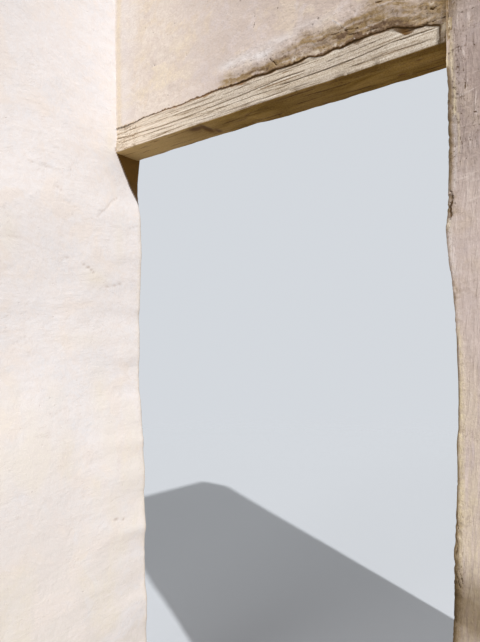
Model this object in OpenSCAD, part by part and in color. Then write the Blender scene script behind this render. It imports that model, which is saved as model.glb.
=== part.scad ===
// Courtyard gateway: two hand-plastered masonry walls joined by a thin header on a timber lintel.
// X runs along the header, Y through the opening, Z up. The origin is on the ground, at the middle of the opening.

/* [Opening] */
// Clear width between the two jambs, just under the lintel
opening_w = 1216; // [900:1:1600]
// Height of the lintel's underside at the left jamb
soffit_h = 2325; // [2050:5:2600]
// How much lower the lintel's underside lies at the right jamb
lintel_drop = 55; // [0:5:90]

/* [Side walls] */
// Height of the side walls, without their crowns
wall_h = 3200; // [3000:10:3800]
// Thickness of the side walls at their head
wall_t = 430; // [350:10:600]
// Length of each side wall, from the header's middle
wall_l = 1450; // [1100:10:2400]
// How far the outer faces lean out from head to foot
batter = 35; // [10:5:80]
// Height of the waves that trowel and hand left on the faces
wave_h = 6; // [0:1:10]
// Length of those waves along a face
wave_l = 1120; // [600:10:2000]
// Length of those waves up a face
wave_up = 1550; // [800:10:2600]
// Radius of the soft corners away from the opening
corner_r = 45; // [20:5:80]
// Radius of the worn arrises at the opening
arris_r = 18; // [8:1:30]
// Rise of the rounded crowns on the side walls
crown_rise = 70; // [30:5:150]

/* [Left jamb] */
// How far the left jamb's foot stands further into the opening than its head
left_swell = 59; // [0:1:90]
// Its long wave: height, length, and level of a crest above the ground
left_long_h = 8; // [0:1:15]
left_long_l = 1600; // [1000:10:2600]
left_long_at = 760; // [0:10:2000]
// Its short wave: height, length, and level of a crest above the ground
left_short_h = 6; // [0:1:10]
left_short_l = 800; // [400:10:1200]
left_short_at = 1205; // [0:10:2000]
// Plaster over the lintel's rear face, on the end of the left wall
left_cover = 8; // [4:1:30]

/* [Right pier] */
// Length of the right pier, along the passage
pier_l = 450; // [300:10:700]
// How far the pier's front face stands in front of the header
pier_step = 16; // [12:1:60]
// Depth that hands and shoulders have worn the right jamb back, below the lintel
right_worn = 10; // [0:1:20]
// Its long wave: height, length, and level of a hollow above the ground
right_long_h = 11; // [0:1:15]
right_long_l = 1700; // [1000:10:2600]
right_long_at = 1360; // [0:10:2000]
// Its short wave: height, length, and level of a hollow above the ground
right_short_h = 3; // [0:1:10]
right_short_l = 600; // [400:10:1200]
right_short_at = 1545; // [0:10:2000]

/* [Header] */
// Thickness of the header wall
header_t = 113; // [90:1:200]
// How far the header wall's top lies below the heads of the side walls
header_below = 120; // [60:5:400]
// Rise of the header's half-round crown
header_rise = 50; // [20:1:56]

/* [Lintel] */
// Height of the timber
beam_h = 105; // [80:1:140]
// How far the timber's rear face lies in from the header's rear face
beam_set = 4; // [0:1:20]
// Length of each end that bears in its wall
bearing_l = 150; // [80:5:250]
// Radius of the timber's rubbed edges
beam_r = 7; // [2:1:15]
// Depth of the long shakes in the timber's front
shake_d = 14; // [4:1:30]
// Width of the shakes at their mouths
shake_w = 5; // [2:1:8]

/* [Plaster lip] */
// Height of bare timber under the lip, at the left jamb
bare_h = 90; // [60:1:104]
// How much less timber is bare at the right end
bare_loss = 45; // [0:1:52]
// Height and length of the ragged edge's waves
ragged_h = 4; // [0:1:8]
ragged_l = 190; // [120:5:400]
// Thickness of the lip where it lies flush, on the left
lip_thin = 5; // [3:1:12]
// Thickness of the lip where it bulges, on the right
lip_thick = 20; // [12:1:28]
// Height of the lip's feathered top above the timber
lip_rise = 110; // [40:5:150]
// Width of the mortar packed beside the lintel's right end
packing_w = 24; // [10:1:40]
// Thickness of that mortar where it meets the pier
packing_t = 12; // [6:1:20]

/* [Hidden] */

plaster_white = [0.93, 0.90, 0.84];
plaster_cream = [0.86, 0.79, 0.68];
plaster_pink = [0.86, 0.77, 0.72];
timber = [0.72, 0.62, 0.48];

// Waves of each jamb along its height: height of the wave, its length and the level of a crest
left_waves = [[left_long_h, left_long_l, left_long_at], [left_short_h, left_short_l, left_short_at]];
right_waves = [[right_long_h, right_long_l, right_long_at], [right_short_h, right_short_l, right_short_at]];

jamb_x = opening_w / 2;
header_y = header_t / 2;
header_h = wall_h - header_below;
left_y1 = header_y + left_cover;
pier_y0 = -header_y - pier_step;
pier_y1 = pier_y0 + pier_l;
outer_x = jamb_x + wall_t;

beam_t = header_t - beam_set;
beam_l = opening_w + 2 * bearing_l;
beam_tilt = atan(lintel_drop / opening_w);

level_step = 100;
side_step = 120;
corner_steps = 4;
joint_r = arris_r / 9;
lip_step = 30;
feather_t = 0.3 * lip_thin;
// Flat margin beside the header, and the lengths over which waves fade in
flat_margin = 0.18 * header_t;
fade_l = soffit_h / 12;
fade_z = wall_h / 11;

function clamp(v, low, high) = min(max(v, low), high);
function ease(t) = let (u = clamp(t, 0, 1)) u * u * (3 - 2 * u);
function mix(a, b, t) = a + (b - a) * t;
function turns(d, l) = 360 * d / l;
function train(z, waves) = [for (w = waves) w[0] * cos(turns(z - w[2], w[1]))] * [for (w = waves) 1];

// Underside and top of the sloping timber
function soffit_z(x) = soffit_h - lintel_drop * (x + jamb_x) / opening_w;
function beam_top_z(x) = soffit_z(x) + beam_h / cos(beam_tilt);

// Broad waves of a trowelled face, u along it and z up, fading towards its foot and its head
function waved(z) = wave_h * ease(z / fade_z) * ease((wall_h - z) / fade_z);
function ripple(u, z, phase) =
    waved(z) * (0.6 * sin(turns(u, wave_l) + turns(z, wave_up) + phase)
                + 0.4 * sin(turns(u, 0.55 * wave_l) - turns(z, 0.6 * wave_up) + 2 * phase));

// 0 where the header and the lintel meet a side wall, 1 well away from them
function off_header(y) = ease((abs(y) - header_y - flat_margin) / fade_l);
function below_lintel(z) = ease((soffit_h - lintel_drop - flat_margin - z) / fade_l);

// Outward shift of the faces of the side walls
function left_jamb_out(y, z) =
    left_swell * max(0, 1 - z / (soffit_h - lintel_drop))
    + train(z, left_waves) * below_lintel(z) * ease(z / fade_z)
    + ripple(y, z, 40) * off_header(y);
function right_jamb_out(y, z) =
    -(right_worn + train(z, right_waves)) * below_lintel(z) * ease(z / fade_z)
    + ripple(y, z, 130) * off_header(y);
function outer_out(y, z, phase) = batter * (1 - z / wall_h) + ripple(y, z, phase) - waved(z);
function end_out(x, z, phase) = (ripple(x, z, phase) - waved(z)) / 2;

// Arrises are tight where the header meets them: d is how much a corner's radius shrinks at height z,
// c the sharp corner and q the way into the wall from it
function tight(z, soffit) = 0.8 * arris_r * ease((z - soffit) / fade_l + 0.5) * ease((wall_h - z) / header_below);
function tightened(p, c, q, d) =
    abs(p[0] - c[0]) <= 1.001 * arris_r && abs(p[1] - c[1]) <= 1.001 * arris_r
        ? [p[0] - d * (q[0] + p[2]), p[1] - d * (q[1] + p[3]), p[2], p[3]] : p;

// Points of a rounded rectangle with their outward normals, each side passing through its stops
function arc(c, r, a) = [for (i = [0:corner_steps]) let (t = a + 90 * i / corner_steps)
    [c[0] + r * cos(t), c[1] + r * sin(t), cos(t), sin(t)]];
function run(p, q, n) = let (steps = ceil(norm(q - p) / side_step))
    [for (i = [1:1:steps - 1]) let (m = p + (q - p) * i / steps) [m[0], m[1], n[0], n[1]]];
function side(stops, n) = concat(run(stops[0], stops[1], n),
    len(stops) > 2 ? [[stops[1][0], stops[1][1], n[0], n[1]]] : [],
    len(stops) > 2 ? side([for (i = [1:len(stops) - 1]) stops[i]], n) : []);
function outline(x0, x1, y0, y1, r, left = [], right = []) = concat(
    arc([x0 + r[0], y0 + r[0]], r[0], 180),
    side([[x0 + r[0], y0], [x1 - r[1], y0]], [0, -1]),
    arc([x1 - r[1], y0 + r[1]], r[1], 270),
    side([[x1, y0 + r[1]], each [for (y = right) [x1, y]], [x1, y1 - r[2]]], [1, 0]),
    arc([x1 - r[2], y1 - r[2]], r[2], 0),
    side([[x1 - r[2], y1], [x0 + r[3], y1]], [0, 1]),
    arc([x0 + r[3], y1 - r[3]], r[3], 90),
    side([[x0, y1 - r[3]], each [for (y = left) [x0, y]], [x0, y0 + r[0]]], [-1, 0]));

function levels(h) = let (steps = ceil(h / level_step)) [for (i = [0:steps]) h * i / steps];
function span(a, b, step) = let (steps = ceil((b - a) / step)) [for (i = [0:steps]) mix(a, b, i / steps)];

function middle(ring) = [for (p = ring) 1] * ring / len(ring);

// Closed skin over rings that all have the same number of points, each end a fan about its middle
module skin(rings) {
    n = len(rings[0]);
    m = len(rings);
    sides = [for (k = [0:m - 2], i = [0:n - 1]) let (a = k * n + i, b = k * n + (i + 1) % n)
        each [[a, a + n, b + n], [a, b + n, b]]];
    foot = [for (i = [0:n - 1]) [n * m, i, (i + 1) % n]];
    head = [for (i = [0:n - 1]) [n * m + 1, (m - 1) * n + (i + 1) % n, (m - 1) * n + i]];
    points = concat([for (r = rings) each r], [middle(rings[0]), middle(rings[m - 1])]);
    polyhedron(points, concat(foot, sides, head), convexity = 4);
}

// Place along the timber: x from its left jamb, y back from its front face, z up from its underside
module along_beam() {
    translate([-jamb_x, -header_y, soffit_h])
        rotate([0, beam_tilt, 0])
            children();
}

// The room that the timber fills, with its bearings in both walls
module beam_seat() {
    along_beam()
        translate([-bearing_l, 0, 0])
            cube([beam_l, beam_t, beam_h]);
}

left_plan = outline(-outer_x, -jamb_x, -wall_l, left_y1, [corner_r, corner_r, arris_r, corner_r],
                    right = [-header_y - flat_margin]);
pier_plan = outline(jamb_x, outer_x, pier_y0, pier_y1, [arris_r, corner_r, joint_r, joint_r],
                    left = [header_y + flat_margin]);
right_plan = outline(jamb_x, outer_x, pier_y1, wall_l, [joint_r, joint_r, corner_r, corner_r]);
right_head = outline(jamb_x, outer_x, pier_y0, wall_l, [arris_r, corner_r, corner_r, corner_r]);

module left_wall() {
    color(plaster_white)
        difference() {
            skin([for (z = levels(wall_h)) [for (q = left_plan)
                let (p = tightened(q, [-jamb_x, left_y1], [-1, -1], tight(z, soffit_h)),
                     out_x = p[2] > 0 ? left_jamb_out(p[1], z) : outer_out(p[1], z, 200),
                     out_y = p[3] < 0 ? end_out(p[0], z, 95) : 0)
                [p[0] + p[2] * out_x, p[1] + p[3] * out_y, z]]]);
            beam_seat();
        }
}

module right_pier() {
    color(plaster_pink)
        difference() {
            skin([for (z = levels(wall_h)) [for (q = pier_plan)
                let (p = tightened(q, [jamb_x, pier_y0], [1, 1], tight(z, soffit_h - lintel_drop)),
                     out_x = p[2] < 0 ? right_jamb_out(p[1], z) : outer_out(p[1], z, 310),
                     out_y = p[3] < 0 ? end_out(p[0], z, 15) : 0)
                [p[0] + p[2] * out_x, p[1] + p[3] * out_y, z]]]);
            beam_seat();
        }
}

module right_wall() {
    color(plaster_white)
        skin([for (z = levels(wall_h)) [for (p = right_plan)
            let (out_x = p[2] < 0 ? right_jamb_out(p[1], z) : outer_out(p[1], z, 310),
                 out_y = p[3] > 0 ? end_out(p[0], z, 150) : 0)
            [p[0] + p[2] * out_x, p[1] + p[3] * out_y, z]]]);
}

// Rounded crown over a wall head, drawing in evenly from both faces and both ends
module crown(plan) {
    xs = [for (p = plan) p[0]];
    ys = [for (p = plan) p[1]];
    mid = [(max(xs) + min(xs)) / 2, (max(ys) + min(ys)) / 2];
    half = [(max(xs) - min(xs)) / 2, (max(ys) - min(ys)) / 2];
    skin([for (a = [0:13:78]) let (draw = half[0] * (1 - cos(a)))
        [for (p = plan) [mid[0] + (p[0] - mid[0]) * (1 - draw / half[0]),
                         mid[1] + (p[1] - mid[1]) * (1 - draw / half[1]),
                         wall_h + crown_rise * sin(a)]]]);
}

module left_wall_crown() {
    color(plaster_white)
        crown(left_plan);
}

module right_wall_crown() {
    color(plaster_white)
        crown(right_head);
}

// Timber with rubbed edges and two long shakes in its front face
module lintel() {
    color(timber)
        along_beam()
            translate([-bearing_l, 0, 0])
                rotate([90, 0, 90])
                    linear_extrude(beam_l)
                        difference() {
                            union() {
                                translate([beam_r, 0])
                                    square([beam_t - 2 * beam_r, beam_h]);
                                translate([0, beam_r])
                                    square([beam_t, beam_h - 2 * beam_r]);
                                for (y = [beam_r, beam_t - beam_r], z = [beam_r, beam_h - beam_r])
                                    translate([y, z])
                                        circle(r = beam_r, $fn = 24);
                            }
                            for (share = [0.3, 0.6])
                                translate([0, beam_h * share])
                                    polygon([[-1, -shake_w / 2], [shake_d, 0], [-1, shake_w / 2]]);
                        }
}

// Height of bare timber under the lip: an even loss, and most of it near the right end
function share(x) = (x + jamb_x) / opening_w;
function bare(x) = bare_h - bare_loss * (0.25 * share(x) + 0.75 * ease((share(x) - 0.86) / 0.1));
function ragged(x) = ragged_h * (0.6 * sin(turns(x, ragged_l)) + 0.4 * sin(turns(x, 0.44 * ragged_l) + 50));
function lip_foot_z(x) = soffit_z(x) + bare(x) + ragged(x);
function lip_head_z(x) = beam_top_z(x) + lip_rise + lip_rise / 10 * sin(turns(x, 2.5 * ragged_l));
function lip_t(x) = mix(lip_thin, lip_thick, ease((share(x) - 0.3) / 0.3) * ease((1.15 - share(x)) / 0.3));

// Waves of the header's faces, none under z0 nor at the head, so that the lip and the crown seat flat
function header_out(x, z, z0, phase) =
    wave_h * (0.7 * sin(turns(x, wave_l) + turns(z, wave_up) + phase)
              + 0.3 * sin(turns(x, 0.45 * wave_l) - turns(z, 0.5 * wave_up)))
    * ease((z - z0) / fade_l) * ease((header_h - z) / fade_l);

module header_wall() {
    steps = ceil((header_h - beam_top_z(jamb_x)) / level_step);
    color(plaster_cream)
        skin([for (x = span(-jamb_x, jamb_x, side_step))
            let (z0 = beam_top_z(x), flat_z = lip_head_z(x) + flat_margin,
                 zs = [for (i = [0:steps]) mix(z0, header_h, i / steps)])
            concat([for (z = zs) [x, header_y + header_out(x, z, z0, 250), z]],
                   [for (i = [steps:-1:0]) [x, -header_y - header_out(x, zs[i], flat_z, 70), zs[i]]])]);
}

// Half-round crown along the header
module header_crown() {
    crown_radius = (pow(header_y, 2) + pow(header_rise, 2)) / (2 * header_rise);
    color(plaster_cream)
        translate([-jamb_x, 0, header_h])
            rotate([90, 0, 90])
                linear_extrude(opening_w)
                    intersection() {
                        translate([0, header_rise - crown_radius])
                            circle(r = crown_radius, $fn = 96);
                        translate([-header_y, 0])
                            square([header_t, header_rise]);
                    }
}

// Section of a mortar layer on the front plane, from foot to head, with its thickest part low down
function layer(x, z0, z1, t) = [
    [x, -header_y, z0],
    [x, -header_y, z1],
    [x, -header_y - min(t, feather_t), z1],
    [x, -header_y - mix(feather_t, t, 0.5), mix(z0, z1, 0.72)],
    [x, -header_y - mix(feather_t, t, 0.9), mix(z0, z1, 0.52)],
    [x, -header_y - t, mix(z0, z1, 0.38)],
    [x, -header_y - 0.8 * t, mix(z0, z1, 0.18)],
    [x, -header_y - 0.55 * t, mix(z0, z1, 0.04)],
    [x, -header_y - 0.4 * t, z0]];

// Plaster that laps down over the timber's face and ends in a ragged edge
module plaster_lip() {
    color(plaster_cream)
        skin([for (x = span(-jamb_x, jamb_x, lip_step))
            layer(x, lip_foot_z(x), lip_head_z(x), lip_t(x))]);
}

// Mortar packed under the lip, between the timber's face and the pier
module lintel_packing() {
    color(plaster_pink)
        skin([for (x = span(jamb_x - packing_w, jamb_x, packing_w / 3))
            layer(x, soffit_z(x) + beam_r, lip_foot_z(x), mix(packing_t / 3, packing_t, ease(1 - (jamb_x - x) / packing_w)))]);
}

left_wall();
left_wall_crown();
right_pier();
right_wall();
right_wall_crown();
lintel();
header_wall();
header_crown();
plaster_lip();
lintel_packing();
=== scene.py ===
import math
import bpy
import numpy as np
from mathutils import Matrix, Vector


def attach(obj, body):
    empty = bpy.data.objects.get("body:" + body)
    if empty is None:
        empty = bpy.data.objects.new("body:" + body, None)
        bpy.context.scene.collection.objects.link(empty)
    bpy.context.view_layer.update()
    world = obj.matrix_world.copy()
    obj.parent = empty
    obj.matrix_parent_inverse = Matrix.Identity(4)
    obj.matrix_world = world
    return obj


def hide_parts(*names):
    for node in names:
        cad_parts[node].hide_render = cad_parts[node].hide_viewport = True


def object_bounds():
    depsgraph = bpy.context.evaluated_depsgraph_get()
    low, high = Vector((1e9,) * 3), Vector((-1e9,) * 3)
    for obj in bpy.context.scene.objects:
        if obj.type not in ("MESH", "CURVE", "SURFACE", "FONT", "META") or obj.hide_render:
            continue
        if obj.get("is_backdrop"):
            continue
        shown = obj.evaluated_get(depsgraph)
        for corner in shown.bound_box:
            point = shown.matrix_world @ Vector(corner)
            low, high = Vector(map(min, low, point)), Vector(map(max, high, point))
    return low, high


# Looks of a courtyard gateway: two hand-plastered walls, a thin header and a weathered timber.
# Metres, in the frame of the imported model: X along the header, Y through the opening, Z up.

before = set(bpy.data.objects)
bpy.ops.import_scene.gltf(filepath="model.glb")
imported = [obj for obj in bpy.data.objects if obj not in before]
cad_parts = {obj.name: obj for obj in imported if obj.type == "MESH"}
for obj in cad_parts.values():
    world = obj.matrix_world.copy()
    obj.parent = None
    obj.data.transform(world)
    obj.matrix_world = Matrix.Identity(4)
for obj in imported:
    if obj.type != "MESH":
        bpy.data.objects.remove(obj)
cadLow, cadHigh = (np.array(corner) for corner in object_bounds())
print("frame loaded,", len(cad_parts), "solids")

# The solids' own sizes
gate = {
    "openingWidth": 1.216,
    "soffitHeight": 2.325,
    "lintelDrop": 0.055,
    "wallHeight": 3.2,
    "wallThickness": 0.43,
    "wallLength": 1.45,
    "batter": 0.035,
    "waveHeight": 0.006,
    "waveLength": 1.12,
    "waveRise": 1.55,
    "cornerRadius": 0.045,
    "arrisRadius": 0.018,
    "crownRise": 0.068,
    "headerThickness": 0.113,
    "headerBelow": 0.12,
    "leftCover": 0.008,
    "pierStep": 0.016,
    "pierLength": 0.45,
    "beamHeight": 0.105,
    "beamSet": 0.004,
    "bearing": 0.15,
}
jambX = gate["openingWidth"] / 2
outerX = jambX + gate["wallThickness"]
headerY = gate["headerThickness"] / 2
wallTop = gate["wallHeight"]
headerTop = wallTop - gate["headerBelow"]
leftBackY = headerY + gate["leftCover"]
pierFrontY = -headerY - gate["pierStep"]
pierBackY = pierFrontY + gate["pierLength"]
beamTilt = math.atan2(gate["lintelDrop"], gate["openingWidth"])
fadeAlong = gate["soffitHeight"] / 12
fadeUp = wallTop / 11
flatMargin = 0.18 * gate["headerThickness"]
arrisReach = 1.001 * gate["arrisRadius"]


# Smooth step: three times the square less twice the cube, between 0 and 1
def ease(t):
    t = np.clip(t, 0, 1)
    return t * t * (3 - 2 * t)


# Straight way from a to b as t goes from 0 to 1
def mix(a, b, t):
    return a + (b - a) * t


# Bell: e to minus the square of the distance over the width
def bell(distance, width):
    return np.exp(-(distance / width) ** 2)


# Smooth line through points: cubic pieces, each end's slope taken from its neighbours
def smoothLine(x, points):
    px, py = np.array(points, float).T
    slope = np.gradient(py, px)
    i = np.clip(np.searchsorted(px, x) - 1, 0, len(px) - 2)
    gap = px[i + 1] - px[i]
    t = np.clip((x - px[i]) / gap, 0, 1)
    ends = py[i] * (1 + 2 * t) * (1 - t) ** 2 + py[i + 1] * t * t * (3 - 2 * t)
    return ends + gap * (slope[i] * t * (1 - t) ** 2 + slope[i + 1] * t * t * (t - 1))


# Stops from a to b whose spacing follows step(s): equal shares of the sum of 1 / step
def stops(a, b, step):
    s = np.linspace(a, b, 600)
    middle = (s[1:] + s[:-1]) / 2
    count = np.concatenate([[0], np.cumsum(np.abs(np.diff(s)) / step(middle))])
    return np.interp(np.linspace(0, count[-1], int(np.ceil(count[-1])) + 1), count, s)


# The same step everywhere
def evenStep(step):
    return lambda s: np.full(np.shape(s), step)


# Random number between -1 and 1 for every lattice cell, from its whole-number place
def cellValue(cell, seed):
    n = cell.astype(np.int64)
    h = n[..., 0] * 73856093 ^ n[..., 1] * 19349663 ^ n[..., 2] * 83492791
    h = h ^ (seed * 2654435761 & 0xFFFFFFFF)
    h = (h ^ (h >> 13)) * 1274126177 & 0x7FFFFFFF
    h = (h ^ (h >> 16)) * 668265263 & 0x7FFFFFFF
    return (h ^ (h >> 15)) / 0x3FFFFFFF - 1


# Lattice noise: the eight values round a point, blended by a smooth weight along each axis
def noise(points, size, seed):
    p = points / np.array(size, float)
    cell = np.floor(p)
    f = p - cell
    f = f * f * f * (f * (f * 6 - 15) + 10)
    total = np.zeros(points.shape[:-1])
    for corner in range(8):
        step = np.array([corner & 1, corner >> 1 & 1, corner >> 2 & 1])
        total += np.prod(np.where(step, f, 1 - f), axis=-1) * cellValue(cell + step, seed)
    return total


# Noise in octaves: each has half the size and about half the height of the one before
def roughNoise(points, size, octaves, seed):
    total = np.zeros(points.shape[:-1])
    for k in range(octaves):
        total += 0.5 ** k * noise(points, np.array(size, float) / 2 ** k, seed + 17 * k)
    return total


# Distance from points (u, v) to a bent line: the least of the distances to its straight stretches
def lineDistance(u, v, line):
    best = np.full(np.shape(u), 1e3)
    for (u0, v0), (u1, v1) in zip(line[:-1], line[1:]):
        du, dv = u1 - u0, v1 - v0
        t = np.clip(((u - u0) * du + (v - v0) * dv) / (du * du + dv * dv), 0, 1)
        best = np.minimum(best, np.hypot(u - u0 - t * du, v - v0 - t * dv))
    return best


# Faces over rings of equal count stacked one after another, closed round, with a fan at each end
def ringFaces(rings, around):
    k = np.arange(rings - 1)[:, None] * around
    i = np.arange(around)[None, :]
    j = (i + 1) % around
    quads = np.stack([k + i, k + j, k + around + j, k + around + i], -1).reshape(-1, 4)
    foot, head = rings * around, rings * around + 1
    i, j = i[0], j[0]
    last = (rings - 1) * around
    footFan = np.stack([np.full(around, foot), j, i], -1)
    headFan = np.stack([np.full(around, head), last + i, last + j], -1)
    return quads.tolist() + footFan.tolist() + headFan.tolist()


# Piece of the gateway from rings (ring, place round it, xyz), with its masks as attributes
def ringPiece(name, rings, masks, material, nodes):
    count, around = rings.shape[:2]
    rings = np.clip(rings, cadLow, cadHigh)
    points = np.concatenate([rings.reshape(-1, 3), rings[:1].mean(1), rings[-1:].mean(1)])
    mesh = bpy.data.meshes.new(name)
    mesh.from_pydata(points.tolist(), [], ringFaces(count, around))
    mesh.polygons.foreach_set("use_smooth", np.ones(len(mesh.polygons), bool))
    mesh.set_sharp_from_angle(angle=math.radians(60))
    for label, values in masks.items():
        spread = np.broadcast_to(values, (count, around)).reshape(-1)
        spread = np.clip(np.concatenate([spread, [0, 0]]), 0, 1)
        mesh.attributes.new(label, "FLOAT", "POINT").data.foreach_set("value", spread.astype(np.float32))
    mesh.materials.append(material)
    piece = bpy.data.objects.new(name, mesh)
    bpy.context.scene.collection.objects.link(piece)
    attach(piece, "root")
    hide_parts(*nodes)
    print(name, "built,", len(mesh.loops) - 2 * len(mesh.polygons), "triangles")
    return piece


# New node with its settings; an input is a value or another node's output
def addNode(tree, kind, inputs=None, **settings):
    made = tree.nodes.new(kind)
    for name, value in settings.items():
        setattr(made, name, value)
    for name, value in (inputs or {}).items():
        if isinstance(value, bpy.types.NodeSocket):
            tree.links.new(value, made.inputs[name])
        else:
            made.inputs[name].default_value = value
    return made


def mathNode(tree, operation, a, b, c=0.0, clamp=False):
    made = addNode(tree, "ShaderNodeMath", {0: a, 1: b, 2: c}, operation=operation, use_clamp=clamp)
    return made.outputs[0]


def times(tree, product, *others):
    for other in others:
        product = mathNode(tree, "MULTIPLY", product, other)
    return product


# What a mask leaves over
def without(tree, mask):
    return mathNode(tree, "SUBTRACT", 1.0, mask)


# How far a noise is from its middle value, which is nothing along thin bent lines
def offMiddle(tree, value):
    return mathNode(tree, "ABSOLUTE", mathNode(tree, "SUBTRACT", value, 0.5), 0.0)


def mixColour(tree, factor, a, b, blend="MIX"):
    made = addNode(tree, "ShaderNodeMix", {0: factor, 6: a, 7: b}, data_type="RGBA", blend_type=blend)
    return made.outputs[2]


def spreadRange(tree, value, low, high, toLow=0.0, toHigh=1.0):
    made = addNode(tree, "ShaderNodeMapRange", {0: value, 1: low, 2: high, 3: toLow, 4: toHigh})
    made.interpolation_type = "SMOOTHSTEP"
    return made.outputs[0]


def scaled(tree, vector, amount, shift=(0, 0, 0)):
    made = addNode(tree, "ShaderNodeVectorMath", {0: vector, 1: amount, 2: shift}, operation="MULTIPLY_ADD")
    return made.outputs[0]


def dotted(tree, vector, way):
    product = addNode(tree, "ShaderNodeVectorMath", {0: vector, 1: way}, operation="DOT_PRODUCT")
    return product.outputs["Value"]


def noiseNode(tree, vector, scale, detail=3.0, rough=0.5, bend=0.0):
    made = addNode(tree, "ShaderNodeTexNoise", {"Vector": vector, "Scale": scale, "Detail": detail,
                                                "Roughness": rough, "Distortion": bend})
    return made.outputs[0]


# Noise drawn out along a line that climbs at an angle on any upright face: the place is split into its
# reach along that line, its reach across it and its depth
def strokesNode(tree, place, climb, along, across, detail=4.0):
    c, s = math.cos(math.radians(climb)), math.sin(math.radians(climb))
    parts = addNode(tree, "ShaderNodeCombineXYZ", {
        0: dotted(tree, place, (c * along, c * along, s * along)),
        1: dotted(tree, place, (-s * across, -s * across, c * across)),
        2: dotted(tree, place, (9, -9, 0))})
    return noiseNode(tree, parts.outputs[0], 1.0, detail, 0.6, 0.35)


def attributeOf(tree, label):
    mask = addNode(tree, "ShaderNodeAttribute", attribute_type="GEOMETRY", attribute_name=label)
    return mask.outputs["Fac"]


# New group, what comes into it and what it puts out; an input given as three numbers is a vector
def newGroup(name, inputs, outputs):
    group = bpy.data.node_groups.new(name, "ShaderNodeTree")
    for label, value in inputs.items():
        kind = "NodeSocketVector" if isinstance(value, tuple) else "NodeSocketFloat"
        group.interface.new_socket(label, in_out="INPUT", socket_type=kind).default_value = value
    for label in outputs:
        group.interface.new_socket(label, in_out="OUTPUT", socket_type="NodeSocketFloat")
    return group, addNode(group, "NodeGroupInput").outputs, addNode(group, "NodeGroupOutput")


def putOut(tree, out, values):
    for label, value in values.items():
        tree.links.new(value, out.inputs[label])


def placeGroup(tree, group, inputs):
    return addNode(tree, "ShaderNodeGroup", inputs, node_tree=group).outputs


# Cloudy patches left by thin coats: a warm mask, a cool one, a fine one and specks
def buildCoatPatches():
    tree, given, out = newGroup("coatPatches", {"Vector": (0, 0, 0), "Scale": 6.0},
                                ["Warm", "Cool", "Fine", "Specks"])
    place, scale = given["Vector"], given["Scale"]
    elsewhere = scaled(tree, place, (1, 1, 1), (7.3, 2.1, 4.4))
    putOut(tree, out, {
        "Warm": spreadRange(tree, noiseNode(tree, place, scale, 6.0, 0.62, 0.5), 0.5, 0.62),
        "Cool": spreadRange(tree, noiseNode(tree, elsewhere, scale, 6.0, 0.62, 0.5), 0.5, 0.62),
        "Fine": spreadRange(tree, noiseNode(tree, place, times(tree, scale, 6.0), 6.0, 0.7, 0.4), 0.40, 0.62),
        "Specks": spreadRange(tree, noiseNode(tree, place, 170.0, 3.0, 0.6), 0.3, 0.7),
    })
    return tree


# Marks of trowel and brush: strokes in changing directions, dents, grit and pits, as one height.
# Streaks are thin pale lines along the strokes, and hairs thin dark ones.
def buildTrowelMarks():
    tree, given, out = newGroup("trowelMarks", {
        "Vector": (0, 0, 0), "Level Strokes": 0.3, "Upright Strokes": 0.1, "Dents": 0.5, "Grit": 0.1,
        "Pits": 0.4, "Turn": 1.0}, ["Height", "Streaks", "Hairs", "Pits"])
    place = given["Vector"]
    turn = times(tree, spreadRange(tree, noiseNode(tree, place, 3.3, 2.0), 0.42, 0.58), given["Turn"])
    rising = times(tree, strokesNode(tree, place, 7, 15, 70, 6.0), turn)
    falling = times(tree, strokesNode(tree, place, -26, 18, 60, 6.0), without(tree, turn))
    level = mathNode(tree, "ADD", rising, falling)
    upright = strokesNode(tree, place, 85, 18, 110, 5.0)
    dents = noiseNode(tree, place, 14.0, 7.0, 0.62, 0.4)
    grit = noiseNode(tree, place, 210.0, 3.0, 0.65)
    cells = addNode(tree, "ShaderNodeTexVoronoi", {"Vector": place, "Scale": 34.0, "Randomness": 1.0})
    pitHere = spreadRange(tree, noiseNode(tree, place, 9.0, 2.0), 0.5, 0.6)
    pits = times(tree, spreadRange(tree, cells.outputs["Distance"], 0.03, 0.14, 1, 0), pitHere)
    height = times(tree, level, given["Level Strokes"])
    for part, share in ((upright, "Upright Strokes"), (dents, "Dents"), (grit, "Grit")):
        height = mathNode(tree, "MULTIPLY_ADD", part, given[share], height)
    brushed = mathNode(tree, "MULTIPLY", given["Upright Strokes"], 2.0, clamp=True)
    brushed = times(tree, spreadRange(tree, upright, 0.58, 0.68), brushed)
    hairLine = offMiddle(tree, strokesNode(tree, place, 28, 9, 34, 5.0))
    hairHere = spreadRange(tree, noiseNode(tree, place, 12.0, 3.0), 0.54, 0.62)
    putOut(tree, out, {
        "Height": mathNode(tree, "SUBTRACT", height, times(tree, pits, given["Pits"])),
        "Streaks": mathNode(tree, "MAXIMUM", spreadRange(tree, level, 0.58, 0.72), brushed),
        "Hairs": times(tree, spreadRange(tree, hairLine, 0.0, 0.013, 1, 0), hairHere),
        "Pits": pits,
    })
    return tree


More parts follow.
